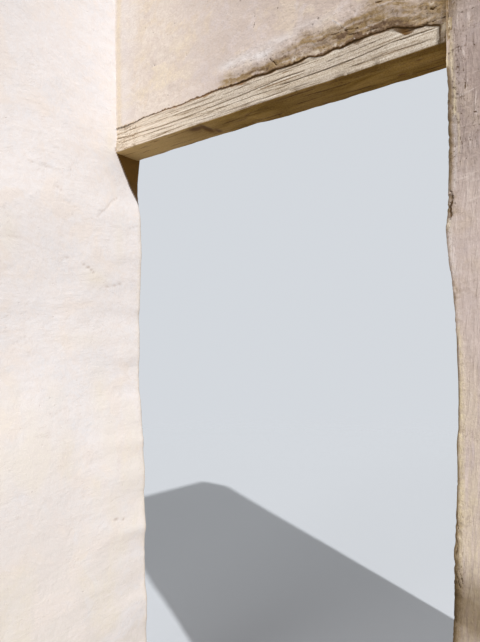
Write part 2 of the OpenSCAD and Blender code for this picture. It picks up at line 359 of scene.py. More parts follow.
# Grain of old timber along X: thin lines, seams, a broad tone, cross checks, curls and a height
def buildTimberGrain():
    tree, given, out = newGroup("timberGrain", {"Vector": (0, 0, 0), "Tilt": (0, 0, 0)},
                                ["Lines", "Fibres", "Seams", "Tone", "Checks", "Curls", "Height"])
    turned = addNode(tree, "ShaderNodeMapping",
                     {"Vector": given["Vector"], "Rotation": given["Tilt"]}).outputs[0]

    def grainNoise(scales, detail, rough=0.5, bend=0.0):
        return noiseNode(tree, scaled(tree, turned, scales), 1.0, detail, rough, bend)

    tone = grainNoise((4, 22, 32), 5.0, 0.65, 0.6)
    thin = grainNoise((5, 110, 185), 5.0, 0.68, 0.5)
    checks = grainNoise((340, 260, 330), 3.0, 0.75, 0.4)
    lines = spreadRange(tree, thin, 0.44, 0.36)
    # Seams follow a drawn-out noise's middle and are broken off here and there
    seamLine = offMiddle(tree, grainNoise((2.2, 40, 75), 2.0, 0.5, 0.2))
    seamHere = spreadRange(tree, grainNoise((9, 30, 40), 2.0), 0.42, 0.54)
    curlLine = offMiddle(tree, grainNoise((38, 60, 75), 3.0, 0.6, 0.8))
    height = mathNode(tree, "MULTIPLY_ADD", thin, 0.5, times(tree, checks, 0.2))
    putOut(tree, out, {
        "Lines": lines,
        "Fibres": spreadRange(tree, thin, 0.53, 0.62),
        "Seams": times(tree, spreadRange(tree, seamLine, 0.0, 0.026, 1, 0), seamHere),
        "Tone": spreadRange(tree, tone, 0.35, 0.65),
        "Checks": spreadRange(tree, checks, 0.42, 0.64),
        "Curls": spreadRange(tree, curlLine, 0.0, 0.035, 1, 0),
        "Height": mathNode(tree, "SUBTRACT", height, times(tree, lines, 0.4)),
    })
    return tree


coatPatches = buildCoatPatches()
trowelMarks = buildTrowelMarks()
timberGrain = buildTimberGrain()
print("node groups built")


def newMaterial(name, roughness, specular):
    material = bpy.data.materials.new(name)
    material.use_nodes = True
    tree = material.node_tree
    shader = tree.nodes["Principled BSDF"]
    shader.inputs["Roughness"].default_value = roughness
    shader.inputs["Specular IOR Level"].default_value = specular
    place = addNode(tree, "ShaderNodeTexCoord").outputs["Object"]
    return material, tree, shader, place


def addBump(tree, shader, distance, height):
    bump = addNode(tree, "ShaderNodeBump", {"Strength": 1.0, "Distance": distance, "Height": height})
    tree.links.new(bump.outputs[0], shader.inputs["Normal"])


# Lime plaster: thin cloudy coats, brushed and trowelled, with worn arrises, stains, cracks and painted shade
# by masks
def plasterMaterial(name, look):
    material, tree, shader, place = newMaterial(name, 0.9, 0.25)
    coats = placeGroup(tree, coatPatches, {"Vector": place, "Scale": look["patchScale"]})
    marks = placeGroup(tree, trowelMarks, {
        "Vector": place, "Level Strokes": look["levelStrokes"], "Upright Strokes": look["uprightStrokes"],
        "Dents": look["dents"], "Grit": look["grit"], "Pits": look["pits"], "Turn": look["turn"]})
    rough = attributeOf(tree, "rough")
    broken = noiseNode(tree, place, 120.0, 5.0, 0.72, 0.4)
    crumbled = noiseNode(tree, place, 85.0, 6.0, 0.74, 0.6)

    # Mask whose edge a noise breaks up, more with more contrast
    def ragged(label, noiseValue, low, high, contrast=3.2):
        gain = mathNode(tree, "MULTIPLY_ADD", noiseValue, contrast, 1 - contrast / 2)
        return spreadRange(tree, times(tree, attributeOf(tree, label), gain), low, high)

    dashes = mathNode(tree, "MULTIPLY_ADD", broken, 3.0, -0.55)
    fissure = spreadRange(tree, times(tree, attributeOf(tree, "fissure"), dashes), 0.62, 0.86)
    holes = noiseNode(tree, scaled(tree, place, look["holeScale"]), 1.0, 3.0, 0.6, 0.4)
    holes = times(tree, spreadRange(tree, holes, 0.585, 0.66), rough)
    cream = times(tree, attributeOf(tree, "cream"), spreadRange(tree, coats["Fine"], 0.0, 1.0, 1.0, 0.6))
    hairShare = mathNode(tree, "MULTIPLY_ADD", rough, 0.6, look["hairShare"])
    colour = mixColour(tree, attributeOf(tree, "dull"), (*look["base"], 1), (*look["dull"], 1))
    # Each layer's shade and how much of it lies over those before
    layers = [
        ("warm", times(tree, coats["Warm"], look["warmShare"])),
        ("cool", times(tree, coats["Cool"], look["coolShare"])),
        ("fine", times(tree, coats["Fine"], look["fineShare"])),
        ("streak", times(tree, marks["Streaks"], look["streakShare"])),
        ("cream", cream),
        ("speck", times(tree, coats["Specks"], look["speckShare"])),
        ("pale", attributeOf(tree, "pale")),
        ("crack", times(tree, marks["Hairs"], hairShare)),
        ("crack", times(tree, marks["Pits"], look["pitShare"])),
        ("worn", times(tree, ragged("worn", broken, 0.2, 0.75), look["wornShare"])),
        ("stainAndShade", ragged("stainAndShade", crumbled, 0.0, 1.1, 2.0)),
        ("sootAndShade", ragged("sootAndShade", broken, 0.15, 0.8)),
        ("crack", fissure),
        ("crack", times(tree, holes, look["holeShare"])),
        ("crack", attributeOf(tree, "crack")),
        ("shelteredAndPaintedShade", attributeOf(tree, "shelteredAndPaintedShade")),
    ]
    for shade, share in layers:
        colour = mixColour(tree, share, colour, (*look[shade], 1))
    toned = mixColour(tree, 1.0, colour, (*look["tone"], 1), "MULTIPLY")
    colour = mixColour(tree, attributeOf(tree, "tone"), colour, toned)
    tree.links.new(colour, shader.inputs["Base Color"])
    tree.links.new(spreadRange(tree, coats["Fine"], 0, 1, 0.96, 0.82), shader.inputs["Roughness"])
    height = times(tree, marks["Height"], mathNode(tree, "ADD", rough, 1.0))
    height = mathNode(tree, "ADD", height, times(tree, crumbled, rough, 1.3))
    height = mathNode(tree, "SUBTRACT", height, times(tree, fissure, 0.5))
    height = mathNode(tree, "SUBTRACT", height, times(tree, holes, 0.25))
    addBump(tree, shader, look["bumpHeight"], height)
    return material


# Weathered timber: bleached on its front, brown where it is sheltered, with dark grain lines and shakes. The
# underside's brown is also painted shade, and its paler left end is painted bounce light
def timberMaterial(name, look):
    material, tree, shader, place = newMaterial(name, 0.8, 0.25)
    grain = placeGroup(tree, timberGrain, {"Vector": place, "Tilt": (0, -beamTilt, 0)})
    shelteredAndPaintedShade = attributeOf(tree, "shelteredAndPaintedShade")
    exposed = without(tree, shelteredAndPaintedShade)
    warmth = attributeOf(tree, "warmth")
    newer = mathNode(tree, "MULTIPLY_ADD", warmth, -0.8, 1.0)
    specks = spreadRange(tree, noiseNode(tree, place, 90.0, 4.0, 0.65), 0.58, 0.68)

    def shade(label):
        return (*look[label], 1)

    bleached = mixColour(tree, grain["Tone"], shade("bleachedDark"), shade("bleachedPale"))
    bleached = mixColour(tree, times(tree, attributeOf(tree, "dull"), 0.8), bleached, shade("grey"))
    bleached = mixColour(tree, times(tree, warmth, 0.8), bleached, shade("warm"))
    brown = mixColour(tree, grain["Tone"], shade("brownDark"), shade("brownPale"))
    # Underside paler towards its left end: a painted bounce light
    brown = mixColour(tree, attributeOf(tree, "paintedBounceLight"), brown, shade("paintedBounceLight"))
    # Brown underneath: the timber's own sheltered colour and painted shade
    colour = mixColour(tree, shelteredAndPaintedShade, bleached, brown)
    # Each layer's shade, how much of it lies over those before, and how it is mixed in
    layers = [
        ("fibre", times(tree, grain["Fibres"], exposed, look["fibreShare"]), "MIX"),
        ("line", times(tree, grain["Lines"], look["lineShare"]), "MULTIPLY"),
        ("line", times(tree, grain["Seams"], exposed, look["seamShare"], newer), "MULTIPLY"),
        ("check", times(tree, grain["Checks"], look["checkShare"], newer), "MULTIPLY"),
        ("curl", times(tree, grain["Curls"], attributeOf(tree, "curls"), look["curlShare"]), "MIX"),
        ("line", times(tree, specks, look["speckShare"]), "MIX"),
        ("ochre", attributeOf(tree, "ochre"), "MIX"),
        ("stainAndShade", attributeOf(tree, "stainAndShade"), "MIX"),
        ("crack", attributeOf(tree, "crack"), "MIX"),
    ]
    for label, share, blend in layers:
        colour = mixColour(tree, share, colour, shade(label), blend)
    tree.links.new(colour, shader.inputs["Base Color"])
    tree.links.new(spreadRange(tree, grain["Tone"], 0, 1, 0.88, 0.7), shader.inputs["Roughness"])
    addBump(tree, shader, look["bumpHeight"], grain["Height"])
    return material


# Shades as red, green and blue, how much of each layer shows, and how strong each kind of mark is
limewashLook = {
    "base": (0.87, 0.828, 0.822),
    "dull": (0.785, 0.72, 0.66),
    "warm": (0.88, 0.795, 0.735),
    "cool": (0.825, 0.80, 0.81),
    "pale": (0.90, 0.845, 0.815),
    "cream": (0.86, 0.785, 0.67),
    "fine": (0.845, 0.775, 0.74),
    "streak": (0.91, 0.865, 0.845),
    "speck": (0.80, 0.73, 0.69),
    "worn": (0.82, 0.73, 0.60),
    "stainAndShade": (0.42, 0.29, 0.17),
    # Painted shadow colour: the lintel's shadow on the jamb
    "shelteredAndPaintedShade": (0.22, 0.11, 0.008),
    "sootAndShade": (0.30, 0.20, 0.10),
    "crack": (0.50, 0.41, 0.35),
    "patchScale": 7.0,
    "warmShare": 0.75,
    "coolShare": 0.7,
    "fineShare": 0.6,
    "streakShare": 0.45,
    "speckShare": 0.14,
    "hairShare": 0.26,
    "pitShare": 0.15,
    "holeShare": 0.1,
    "holeScale": (200, 200, 140),
    "tone": (0.775, 0.80, 0.83),
    "turn": 1.0,
    "wornShare": 0.45,
    "levelStrokes": 0.75,
    "uprightStrokes": 0.15,
    "dents": 1.7,
    "grit": 0.20,
    "pits": 0.35,
    "bumpHeight": 0.0022,
}
creamLook = {
    "base": (0.895, 0.815, 0.765),
    "dull": (0.615, 0.505, 0.45),
    "warm": (0.82, 0.69, 0.55),
    "cool": (0.74, 0.65, 0.63),
    "pale": (0.868, 0.818, 0.802),
    "cream": (0.89, 0.77, 0.60),
    "fine": (0.70, 0.58, 0.50),
    "streak": (0.88, 0.79, 0.73),
    "speck": (0.52, 0.42, 0.35),
    "worn": (0.50, 0.34, 0.18),
    "stainAndShade": (0.375, 0.255, 0.125),
    "shelteredAndPaintedShade": (0.20, 0.13, 0.07),
    # Soot, and the painted shade along the lip's edge
    "sootAndShade": (0.20, 0.125, 0.075),
    "crack": (0.11, 0.055, 0.015),
    "patchScale": 13.0,
    "warmShare": 0.7,
    "coolShare": 0.75,
    "fineShare": 0.55,
    "streakShare": 0.3,
    "speckShare": 0.26,
    "hairShare": 0.08,
    "pitShare": 0.35,
    "holeShare": 0.5,
    "holeScale": (90, 120, 230),
    "tone": (0.775, 0.80, 0.83),
    "turn": 0.0,
    "wornShare": 0.85,
    "levelStrokes": 0.24,
    "uprightStrokes": 0.2,
    "dents": 1.65,
    "grit": 0.5,
    "pits": 0.9,
    "bumpHeight": 0.0020,
}
pinkLook = {
    "base": (0.69, 0.578, 0.53),
    "dull": (0.365, 0.28, 0.25),
    "warm": (0.66, 0.54, 0.44),
    "cool": (0.64, 0.545, 0.53),
    "pale": (0.875, 0.815, 0.79),
    "cream": (0.84, 0.72, 0.50),
    "fine": (0.56, 0.45, 0.39),
    "streak": (0.76, 0.655, 0.60),
    "speck": (0.42, 0.32, 0.27),
    "worn": (0.50, 0.37, 0.20),
    "stainAndShade": (0.34, 0.245, 0.145),
    # Painted shade colour for the arris's side turned from the light
    "shelteredAndPaintedShade": (0.21, 0.14, 0.06),
    "sootAndShade": (0.22, 0.15, 0.075),
    "crack": (0.15, 0.09, 0.045),
    "patchScale": 12.0,
    "warmShare": 0.5,
    "coolShare": 0.4,
    "fineShare": 0.4,
    "streakShare": 0.75,
    "speckShare": 0.22,
    "hairShare": 0.3,
    "pitShare": 0.3,
    "holeShare": 0.7,
    "holeScale": (230, 230, 110),
    "tone": (0.42, 0.385, 0.325),
    "turn": 1.0,
    "wornShare": 0.6,
    "levelStrokes": 0.35,
    "uprightStrokes": 1.6,
    "dents": 0.7,
    "grit": 0.25,
    "pits": 0.8,
    "bumpHeight": 0.0024,
}
timberLook = {
    "bleachedPale": (0.82, 0.73, 0.605),
    "bleachedDark": (0.66, 0.565, 0.445),
    "warm": (0.90, 0.77, 0.62),
    "grey": (0.66, 0.585, 0.50),
    "brownPale": (0.43, 0.27, 0.06),
    "brownDark": (0.23, 0.135, 0.02),
    # Painted bounce light on the underside's left end
    "paintedBounceLight": (0.60, 0.42, 0.18),
    "line": (0.42, 0.32, 0.21),
    "curl": (0.36, 0.23, 0.11),
    "check": (0.60, 0.53, 0.45),
    "lineShare": 0.95,
    "seamShare": 0.8,
    "checkShare": 0.85,
    "curlShare": 0.75,
    "fibre": (0.92, 0.85, 0.745),
    "fibreShare": 0.75,
    "speckShare": 0.12,
    # Ochre and dark stains below the lip, partly the lip's painted shadow
    "ochre": (0.44, 0.235, 0.105),
    "stainAndShade": (0.17, 0.085, 0.022),
    "crack": (0.11, 0.065, 0.025),
    "bumpHeight": 0.0012,
}
limewash = plasterMaterial("limewashWhite", limewashLook)
creamPlaster = plasterMaterial("plasterCream", creamLook)
pinkPlaster = plasterMaterial("plasterPink", pinkLook)
timber = timberMaterial("weatheredTimber", timberLook)
print("materials built")


# Height of the sloping timber's underside and of its top
def soffitZ(x):
    return gate["soffitHeight"] - gate["lintelDrop"] * (x + jambX) / gate["openingWidth"]


def beamTopZ(x):
    return soffitZ(x) + gate["beamHeight"] / math.cos(beamTilt)


# Height of the hand's waves at level z, nothing at foot and head
def wavedAt(z):
    return gate["waveHeight"] * ease(z / fadeUp) * ease((wallTop - z) / fadeUp)


# Two sines across each other, u along the face and z up it
def ripple(u, z, phase):
    turn, phase = 2 * np.pi, np.radians(phase)
    long = np.sin(turn * u / gate["waveLength"] + turn * z / gate["waveRise"] + phase)
    short = np.sin(turn * u / (0.55 * gate["waveLength"]) - turn * z / (0.6 * gate["waveRise"]) + 2 * phase)
    return wavedAt(z) * (0.6 * long + 0.4 * short)


# Nothing where the header meets a jamb, which is flat there, and one away from it
def offHeader(y):
    return ease((np.abs(y) - headerY - flatMargin) / fadeAlong)


# One below the lintel, and nothing from its underside up
def belowLintel(z):
    return ease((gate["soffitHeight"] - gate["lintelDrop"] - flatMargin - z) / fadeAlong)


# Sum of cosines along a jamb's height: height of each wave, its length and the level of a crest
def waveTrain(z, waves):
    return sum(height * np.cos(2 * np.pi * (z - crest) / length) for height, length, crest in waves)


# Trowelled unevenness of a face, in octaves from a hand's breadth down to a finger's
def trowelled(points, seed):
    broad = roughNoise(points, (0.34, 0.34, 0.24), 3, seed)
    small = roughNoise(points, (0.09, 0.09, 0.035), 2, seed + 5)
    return 0.0016 * broad + 0.0005 * small


# Dirt splashed up on a wall's foot
def footDirt(points, height):
    return ease(1 - points[..., 2] / height) * (0.6 + 0.4 * roughNoise(points, 0.08, 2, 31))


# Hollow in the pier's face beside the timber's end: its level, depth and half height
settled = {"level": 2.305, "depth": 0.0140, "reach": 0.105}


def settledAt(z):
    return settled["depth"] * bell(z - settled["level"], settled["reach"])


# Plan of a wall: points counterclockwise from its near left corner and the way each looks.
# radii, arcs and steps go round from that corner and from the near face.
def wallPlan(x0, x1, y0, y1, radii, arcs, steps):
    def arc(cx, cy, r, start, count):
        a = np.radians(np.linspace(start, start + 90, count + 1))
        return np.stack([cx + r * np.cos(a), cy + r * np.sin(a), np.cos(a), np.sin(a)], -1)

    def face(a, b, step, fixed, along, way):
        s = stops(a, b, step)[1:-1]
        rows = np.zeros((len(s), 4))
        rows[:, along] = s
        rows[:, 1 - along] = fixed
        rows[:, 2:] = way
        return rows

    r = radii
    return np.concatenate([
        arc(x0 + r[0], y0 + r[0], r[0], 180, arcs[0]),
        face(x0 + r[0], x1 - r[1], steps[0], y0, 0, (0, -1)),
        arc(x1 - r[1], y0 + r[1], r[1], 270, arcs[1]),
        face(y0 + r[1], y1 - r[2], steps[1], x1, 1, (1, 0)),
        arc(x1 - r[2], y1 - r[2], r[2], 0, arcs[2]),
        face(x1 - r[2], x0 + r[3], steps[2], y1, 0, (0, 1)),
        arc(x0 + r[3], y1 - r[3], r[3], 90, arcs[3]),
        face(y1 - r[3], y0 + r[0], steps[3], x0, 1, (-1, 0)),
    ])


# How much the left wall's arris tightens where the header meets it
def leftTightAt(z):
    atHeader = ease((z - gate["soffitHeight"]) / fadeAlong + 0.5) * ease((wallTop - z) / gate["headerBelow"])
    return 0.8 * gate["arrisRadius"] * atHeader


# The pier's arris is tighter throughout, and most of all from just below the lintel up
def pierTightAt(z):
    share = mix(0.5, 0.8, ease((z - 2.06) / 0.13)) * ease((wallTop - z) / gate["headerBelow"])
    return share * gate["arrisRadius"]


# Plan spread over the levels, with one corner's radius shrinking by d: its points go along their own
# direction and the corner's inward way, and those beside it follow, less and less
def spreadPlan(plan, levels, corner, inward, shrink):
    z = levels[:, None] * np.ones(len(plan))
    p = np.broadcast_to(plan, (len(levels), *plan.shape)).copy()
    beyond = np.abs(plan[:, :2] - corner).max(1) - arrisReach
    near = 1 - ease(beyond / 0.05)
    d = shrink(levels)[:, None, None] * near[None, :, None]
    p[..., :2] -= d * (np.array(inward) + p[..., 2:])
    return p[..., 0], p[..., 1], z, p[..., 2], p[..., 3]


# Share of a jamb's push that moves a point in X: all of it round the arris, fading along the face beside it,
# so that the arris stays round
def shareAtArris(x, y, nx, cornerX, cornerY):
    reach, fade = 0.13, 0.11
    near = (np.abs(y - cornerY) < arrisReach) * (np.abs(x - cornerX) < reach)
    return np.where(near, ease((reach - np.abs(x - cornerX)) / fade), np.abs(nx))


# Painted streaks on a face: the line, its half width and its strength
def lineMask(u, v, lines):
    total = np.zeros(np.shape(u))
    for line, width, strength in lines:
        total = np.maximum(total, strength * bell(lineDistance(u, v, line), width))
    return total


# Painted patches on a face: the middle, the half sizes and the strength
def patchMask(u, v, patches):
    total = np.zeros(np.shape(u))
    for (cu, cv), (su, sv), strength in patches:
        total = np.maximum(total, strength * np.exp(-((u - cu) / su) ** 2 - ((v - cv) / sv) ** 2))
    return total


# Relief and dark lines of marks on a face: a bell across each line, whose darkness reaches 6 mm from it
def drawMarks(u, v, marks, darkness):
    relief, fissure = np.zeros(np.shape(u)), np.zeros(np.shape(u))
    for line, height, width, dark in marks:
        distance = lineDistance(u, v, line)
        relief = relief + height * bell(distance, width)
        fissure = np.maximum(fissure, (darkness + 0.5 * dark) * (dark > 0.2) * (1 - distance / 0.006))
    return relief, fissure


# Points moved along the ways that they look
def outwards(points, nx, ny, amount):
    return points + np.stack([nx * amount, ny * amount, 0 * amount], -1)


print("wall shapes ready")


leftRadii = [gate["cornerRadius"]] * 2 + [gate["arrisRadius"], gate["cornerRadius"]]
leftWall = {
    "fineFrom": -0.56,
    "fineStep": 0.0052,
    "coarseStep": 0.03,
    "levelStep": 0.0075,
    "coarseLevel": 0.02,
    # Height above the ground and how far the rear arris stands into the opening
    "arris": [(0, 0.060), (0.25, 0.056), (0.48, 0.0484), (0.512, 0.0484), (0.555, 0.050), (0.60, 0.0515),
              (0.64, 0.0505), (0.68, 0.043), (0.755, 0.0413), (0.79, 0.0395), (0.83, 0.0365), (0.865, 0.038),
              (0.913, 0.0455), (0.945, 0.0410), (0.99, 0.0365), (1.035, 0.0345), (1.07, 0.0368),
              (1.13, 0.038), (1.16, 0.034), (1.20, 0.0308), (1.25, 0.0302), (1.283, 0.024), (1.33, 0.0212),
              (1.39, 0.0165),
              (1.43, 0.0100), (1.47, 0.0075), (1.52, 0.0052), (1.56, 0.0095), (1.63, 0.0107), (1.66, 0.0098),
              (1.69, 0.0063), (1.72, 0.0060), (1.75, 0.0098), (1.80, 0.0102), (1.86, 0.0128), (1.91, 0.0140),
              (1.94, 0.0174), (1.98, 0.0174), (2.02, 0.0158), (2.08, 0.0142), (2.11, 0.0110), (2.13, 0.0062),
              (2.155, 0.0000), (2.19, -0.0045), (2.225, -0.0065), (2.26, -0.004), (2.295, 0.0), (3.2, 0.0)],
    # Waves along the rest of that face (height, length, level of a crest), and the swell of its foot
    "waves": [(0.008, 1.6, 0.76), (0.006, 0.8, 1.205)],
    "swell": 0.059,
    "outerInset": 0.0015,
    # Fall of the lintel's shade on the jamb for each metre behind the lintel's face, and where it ends below
    "shadeSlope": 1.52,
    "shadeFoot": 2.03,
    # Scratches and trowel ridges on the face to the passage: line in (Y, Z), height, width, crack
    "marks": [
        ([(-0.143, 2.066), (-0.128, 2.085), (-0.107, 2.104), (-0.072, 2.144), (-0.05, 2.156)],
         -0.0014, 0.0045, 0.42),
        ([(-0.15, 2.05), (-0.13, 2.068)], 0.0010, 0.006, 0.0),
        ([(-0.002, 2.051), (0.036, 2.067)], -0.0010, 0.004, 0.3),
        ([(-0.278, 1.899), (-0.239, 1.908)], -0.0010, 0.004, 0.35),
        ([(-0.2, 1.886), (-0.176, 1.878), (-0.158, 1.864)], -0.0020, 0.0045, 0.75),
        ([(-0.107, 1.818), (-0.07, 1.826), (-0.035, 1.837)], -0.0014, 0.004, 0.5),
        ([(-0.107, 0.962), (-0.08, 0.967), (-0.044, 0.959)], -0.0012, 0.003, 0.75),
        ([(-0.315, 2.129), (-0.30, 2.133), (-0.285, 2.123)], -0.0012, 0.004, 0.4),
        ([(-0.49, 2.273), (-0.42, 2.296), (-0.333, 2.305)], 0.0008, 0.005, 0.0),
        ([(-0.403, 2.197), (-0.341, 2.204), (-0.278, 2.196)], 0.0010, 0.005, 0.0),
        ([(-0.395, 2.188), (-0.341, 2.195), (-0.285, 2.188)], -0.0006, 0.003, 0.2),
        ([(-0.41, 2.066), (-0.376, 2.105), (-0.33, 2.118), (-0.27, 2.10)], 0.0010, 0.005, 0.0),
        ([(-0.27, 2.092), (-0.22, 2.075)], -0.0008, 0.004, 0.2),
        ([(-0.491, 1.935), (-0.45, 1.94), (-0.403, 1.935)], -0.0008, 0.004, 0.25),
        ([(-0.44, 1.73), (-0.36, 1.75), (-0.29, 1.735)], 0.0008, 0.005, 0.0),
        ([(-0.25, 1.52), (-0.2, 1.50), (-0.15, 1.515)], 0.0008, 0.005, 0.0),
        ([(-0.38, 2.42), (-0.30, 2.45), (-0.22, 2.445)], 0.0006, 0.005, 0.0),
        ([(-0.45, 1.60), (-0.40, 1.63)], -0.0008, 0.004, 0.3),
        ([(-0.33, 1.36), (-0.28, 1.385), (-0.25, 1.38)], -0.0006, 0.004, 0.25),
        ([(-0.247, 2.211), (-0.246, 2.205)], -0.0012, 0.004, 0.5),
    ],
    # Height above the ground, and how dull the face to the passage is there, and its tone
    "dull": [(0, 1.0), (0.45, 0.95), (0.75, 0.75), (1.0, 0.35), (1.25, 0.05), (1.4, 0.0), (3.2, 0.0)],
    "tone": [(0, 0.35), (0.5, 0.3), (0.75, 0.12), (0.95, 0.0), (1.9, 0.0), (2.3, 0.1), (2.6, 0.3),
             (3.2, 0.4)],
    # Cream patches: middle in (Y, Z), half sizes, strength
    "cream": [
        ((-0.15, 1.845), (0.05, 0.03), 0.75), ((-0.05, 1.985), (0.022, 0.09), 0.4),
        ((-0.13, 1.42), (0.035, 0.10), 0.55), ((-0.10, 1.25), (0.04, 0.12), 0.5),
        ((-0.09, 1.02), (0.035, 0.09), 0.45), ((-0.082, 2.36), (0.018, 0.05), 0.6),
        ((-0.47, 1.95), (0.03, 0.06), 0.5), ((-0.31, 1.2), (0.08, 0.06), 0.3),
        ((-0.09, 2.36), (0.02, 0.06), 0.3), ((-0.2, 1.62), (0.1, 0.03), 0.35),
    ],
}


# Left wall's push outwards. To the passage: the foot's swell and the jamb's waves, as measured beside the
# rear arris. Elsewhere: the batter and the ripples, kept inside the solid.
def leftOut(x, y, z, nx, ny):
    swell = leftWall["swell"] * np.maximum(0, 1 - z / (gate["soffitHeight"] - gate["lintelDrop"]))
    broad = swell + waveTrain(z, leftWall["waves"]) * belowLintel(z) * ease(z / fadeUp)
    near = ease(1 - (leftBackY - y) / 0.30)
    jamb = mix(broad, smoothLine(z, leftWall["arris"]), near) + ripple(y, z, 40) * offHeader(y)
    outer = gate["batter"] * (1 - z / wallTop) + ripple(y, z, 200) - wavedAt(z) - 0.003
    end = (ripple(x, z, 95) - wavedAt(z)) / 2 - 0.003
    share = shareAtArris(x, y, nx, -jambX, leftBackY)
    moveX = np.where((nx > 0) | ((nx > -0.01) & (ny > 0) & (x > -0.75)), jamb * share, nx * outer)
    return moveX, np.where(ny < 0, end, -0.001)


def leftSurface(plan, levels):
    x, y, z, nx, ny = spreadPlan(plan, levels, (-jambX, leftBackY), (-1, -1), leftTightAt)
    outX, outY = leftOut(x, y, z, nx, ny)
    return np.stack([x + outX, y + ny * outY, z], -1), x, y, z, nx, ny


# Left wall: its plan carried up the levels, pushed out by the waves, and its marks and trowelling on top
def buildLeftWall():
    look = leftWall
    inner = lambda y: mix(look["coarseStep"], look["fineStep"], ease((y - look["fineFrom"] + 0.1) / 0.12))
    coarse = evenStep(look["coarseStep"])
    plan = wallPlan(-outerX, -jambX, -gate["wallLength"], leftBackY, leftRadii, [8, 8, 12, 8],
                    [coarse, inner, coarse, coarse])
    levels = stops(0, wallTop, lambda z: mix(look["levelStep"], look["coarseLevel"],
                                             ease((0.55 - z) / 0.15) + ease((z - 2.85) / 0.15)))
    points, x, y, z, nx, ny = leftSurface(plan, levels)
    toPassage = ease((nx - 0.3) / 0.4)
    relief = trowelled(points, 11)
    crack = np.zeros(z.shape)
    for line, height, width, dark in look["marks"]:
        distance = lineDistance(y, z, line)
        relief = relief + height * bell(distance, width) * toPassage
        crack = np.maximum(crack, dark * bell(distance, 0.6 * width) * toPassage)
    atArris = bell(np.hypot(x + jambX, y - leftBackY), 0.03)
    crumbs = roughNoise(points, 0.028, 3, 23)
    crumbled = (0.0013 * crumbs - 0.002 * ease((crumbs - 0.5) / 0.3)) * ease((2.3 - z) / 0.1)
    relief = relief + atArris * crumbled
    # Where the header and the timber's end sit, the face is nearly flat
    timberFoot = soffitZ(-jambX)
    seat = ease((flatMargin - np.abs(y)) / 0.03) * ease((z - timberFoot + 0.02) / 0.03) * toPassage
    relief = relief * mix(1, 0.35, seat) - look["outerInset"] * (nx < -0.5)
    points = outwards(points, nx, ny, relief)
    # Painted shadow: the lintel's shadow on the jamb, mixed into the colour as dark brown, weaker towards its
    # foot
    behind = y + headerY
    shade = ease((behind + 0.01) / 0.02) * ease((z - look["shadeFoot"]) / 0.05) * ease((nx - 0.12) / 0.4)
    shade = shade * ease((z - timberFoot + look["shadeSlope"] * behind - 0.002) / 0.009)
    shade = shade * (z < timberFoot + 0.02)
    creamBands = ease((roughNoise(points, (0.16, 0.16, 0.34), 3, 33) - 0.12) / 0.5) * ease((1.75 - z) / 0.5)
    masks = {
        "crack": crack,
        "cream": np.maximum(patchMask(y, z, look["cream"]), 0.5 * creamBands) * toPassage,
        "worn": 0.75 * atArris * ease((2.25 - z) / 0.2),
        "stainAndShade": 0.35 * footDirt(points, 0.16),
        "shelteredAndPaintedShade": mix(0.66, 0.975, ease((z - 2.05) / 0.20)) * shade,
        "dull": smoothLine(z, look["dull"]) * toPassage,
        "tone": smoothLine(z, look["tone"]) * toPassage,
    }
    return ringPiece("left_wall_plaster", points, masks, limewash, ["left_wall"])


buildLeftWall()

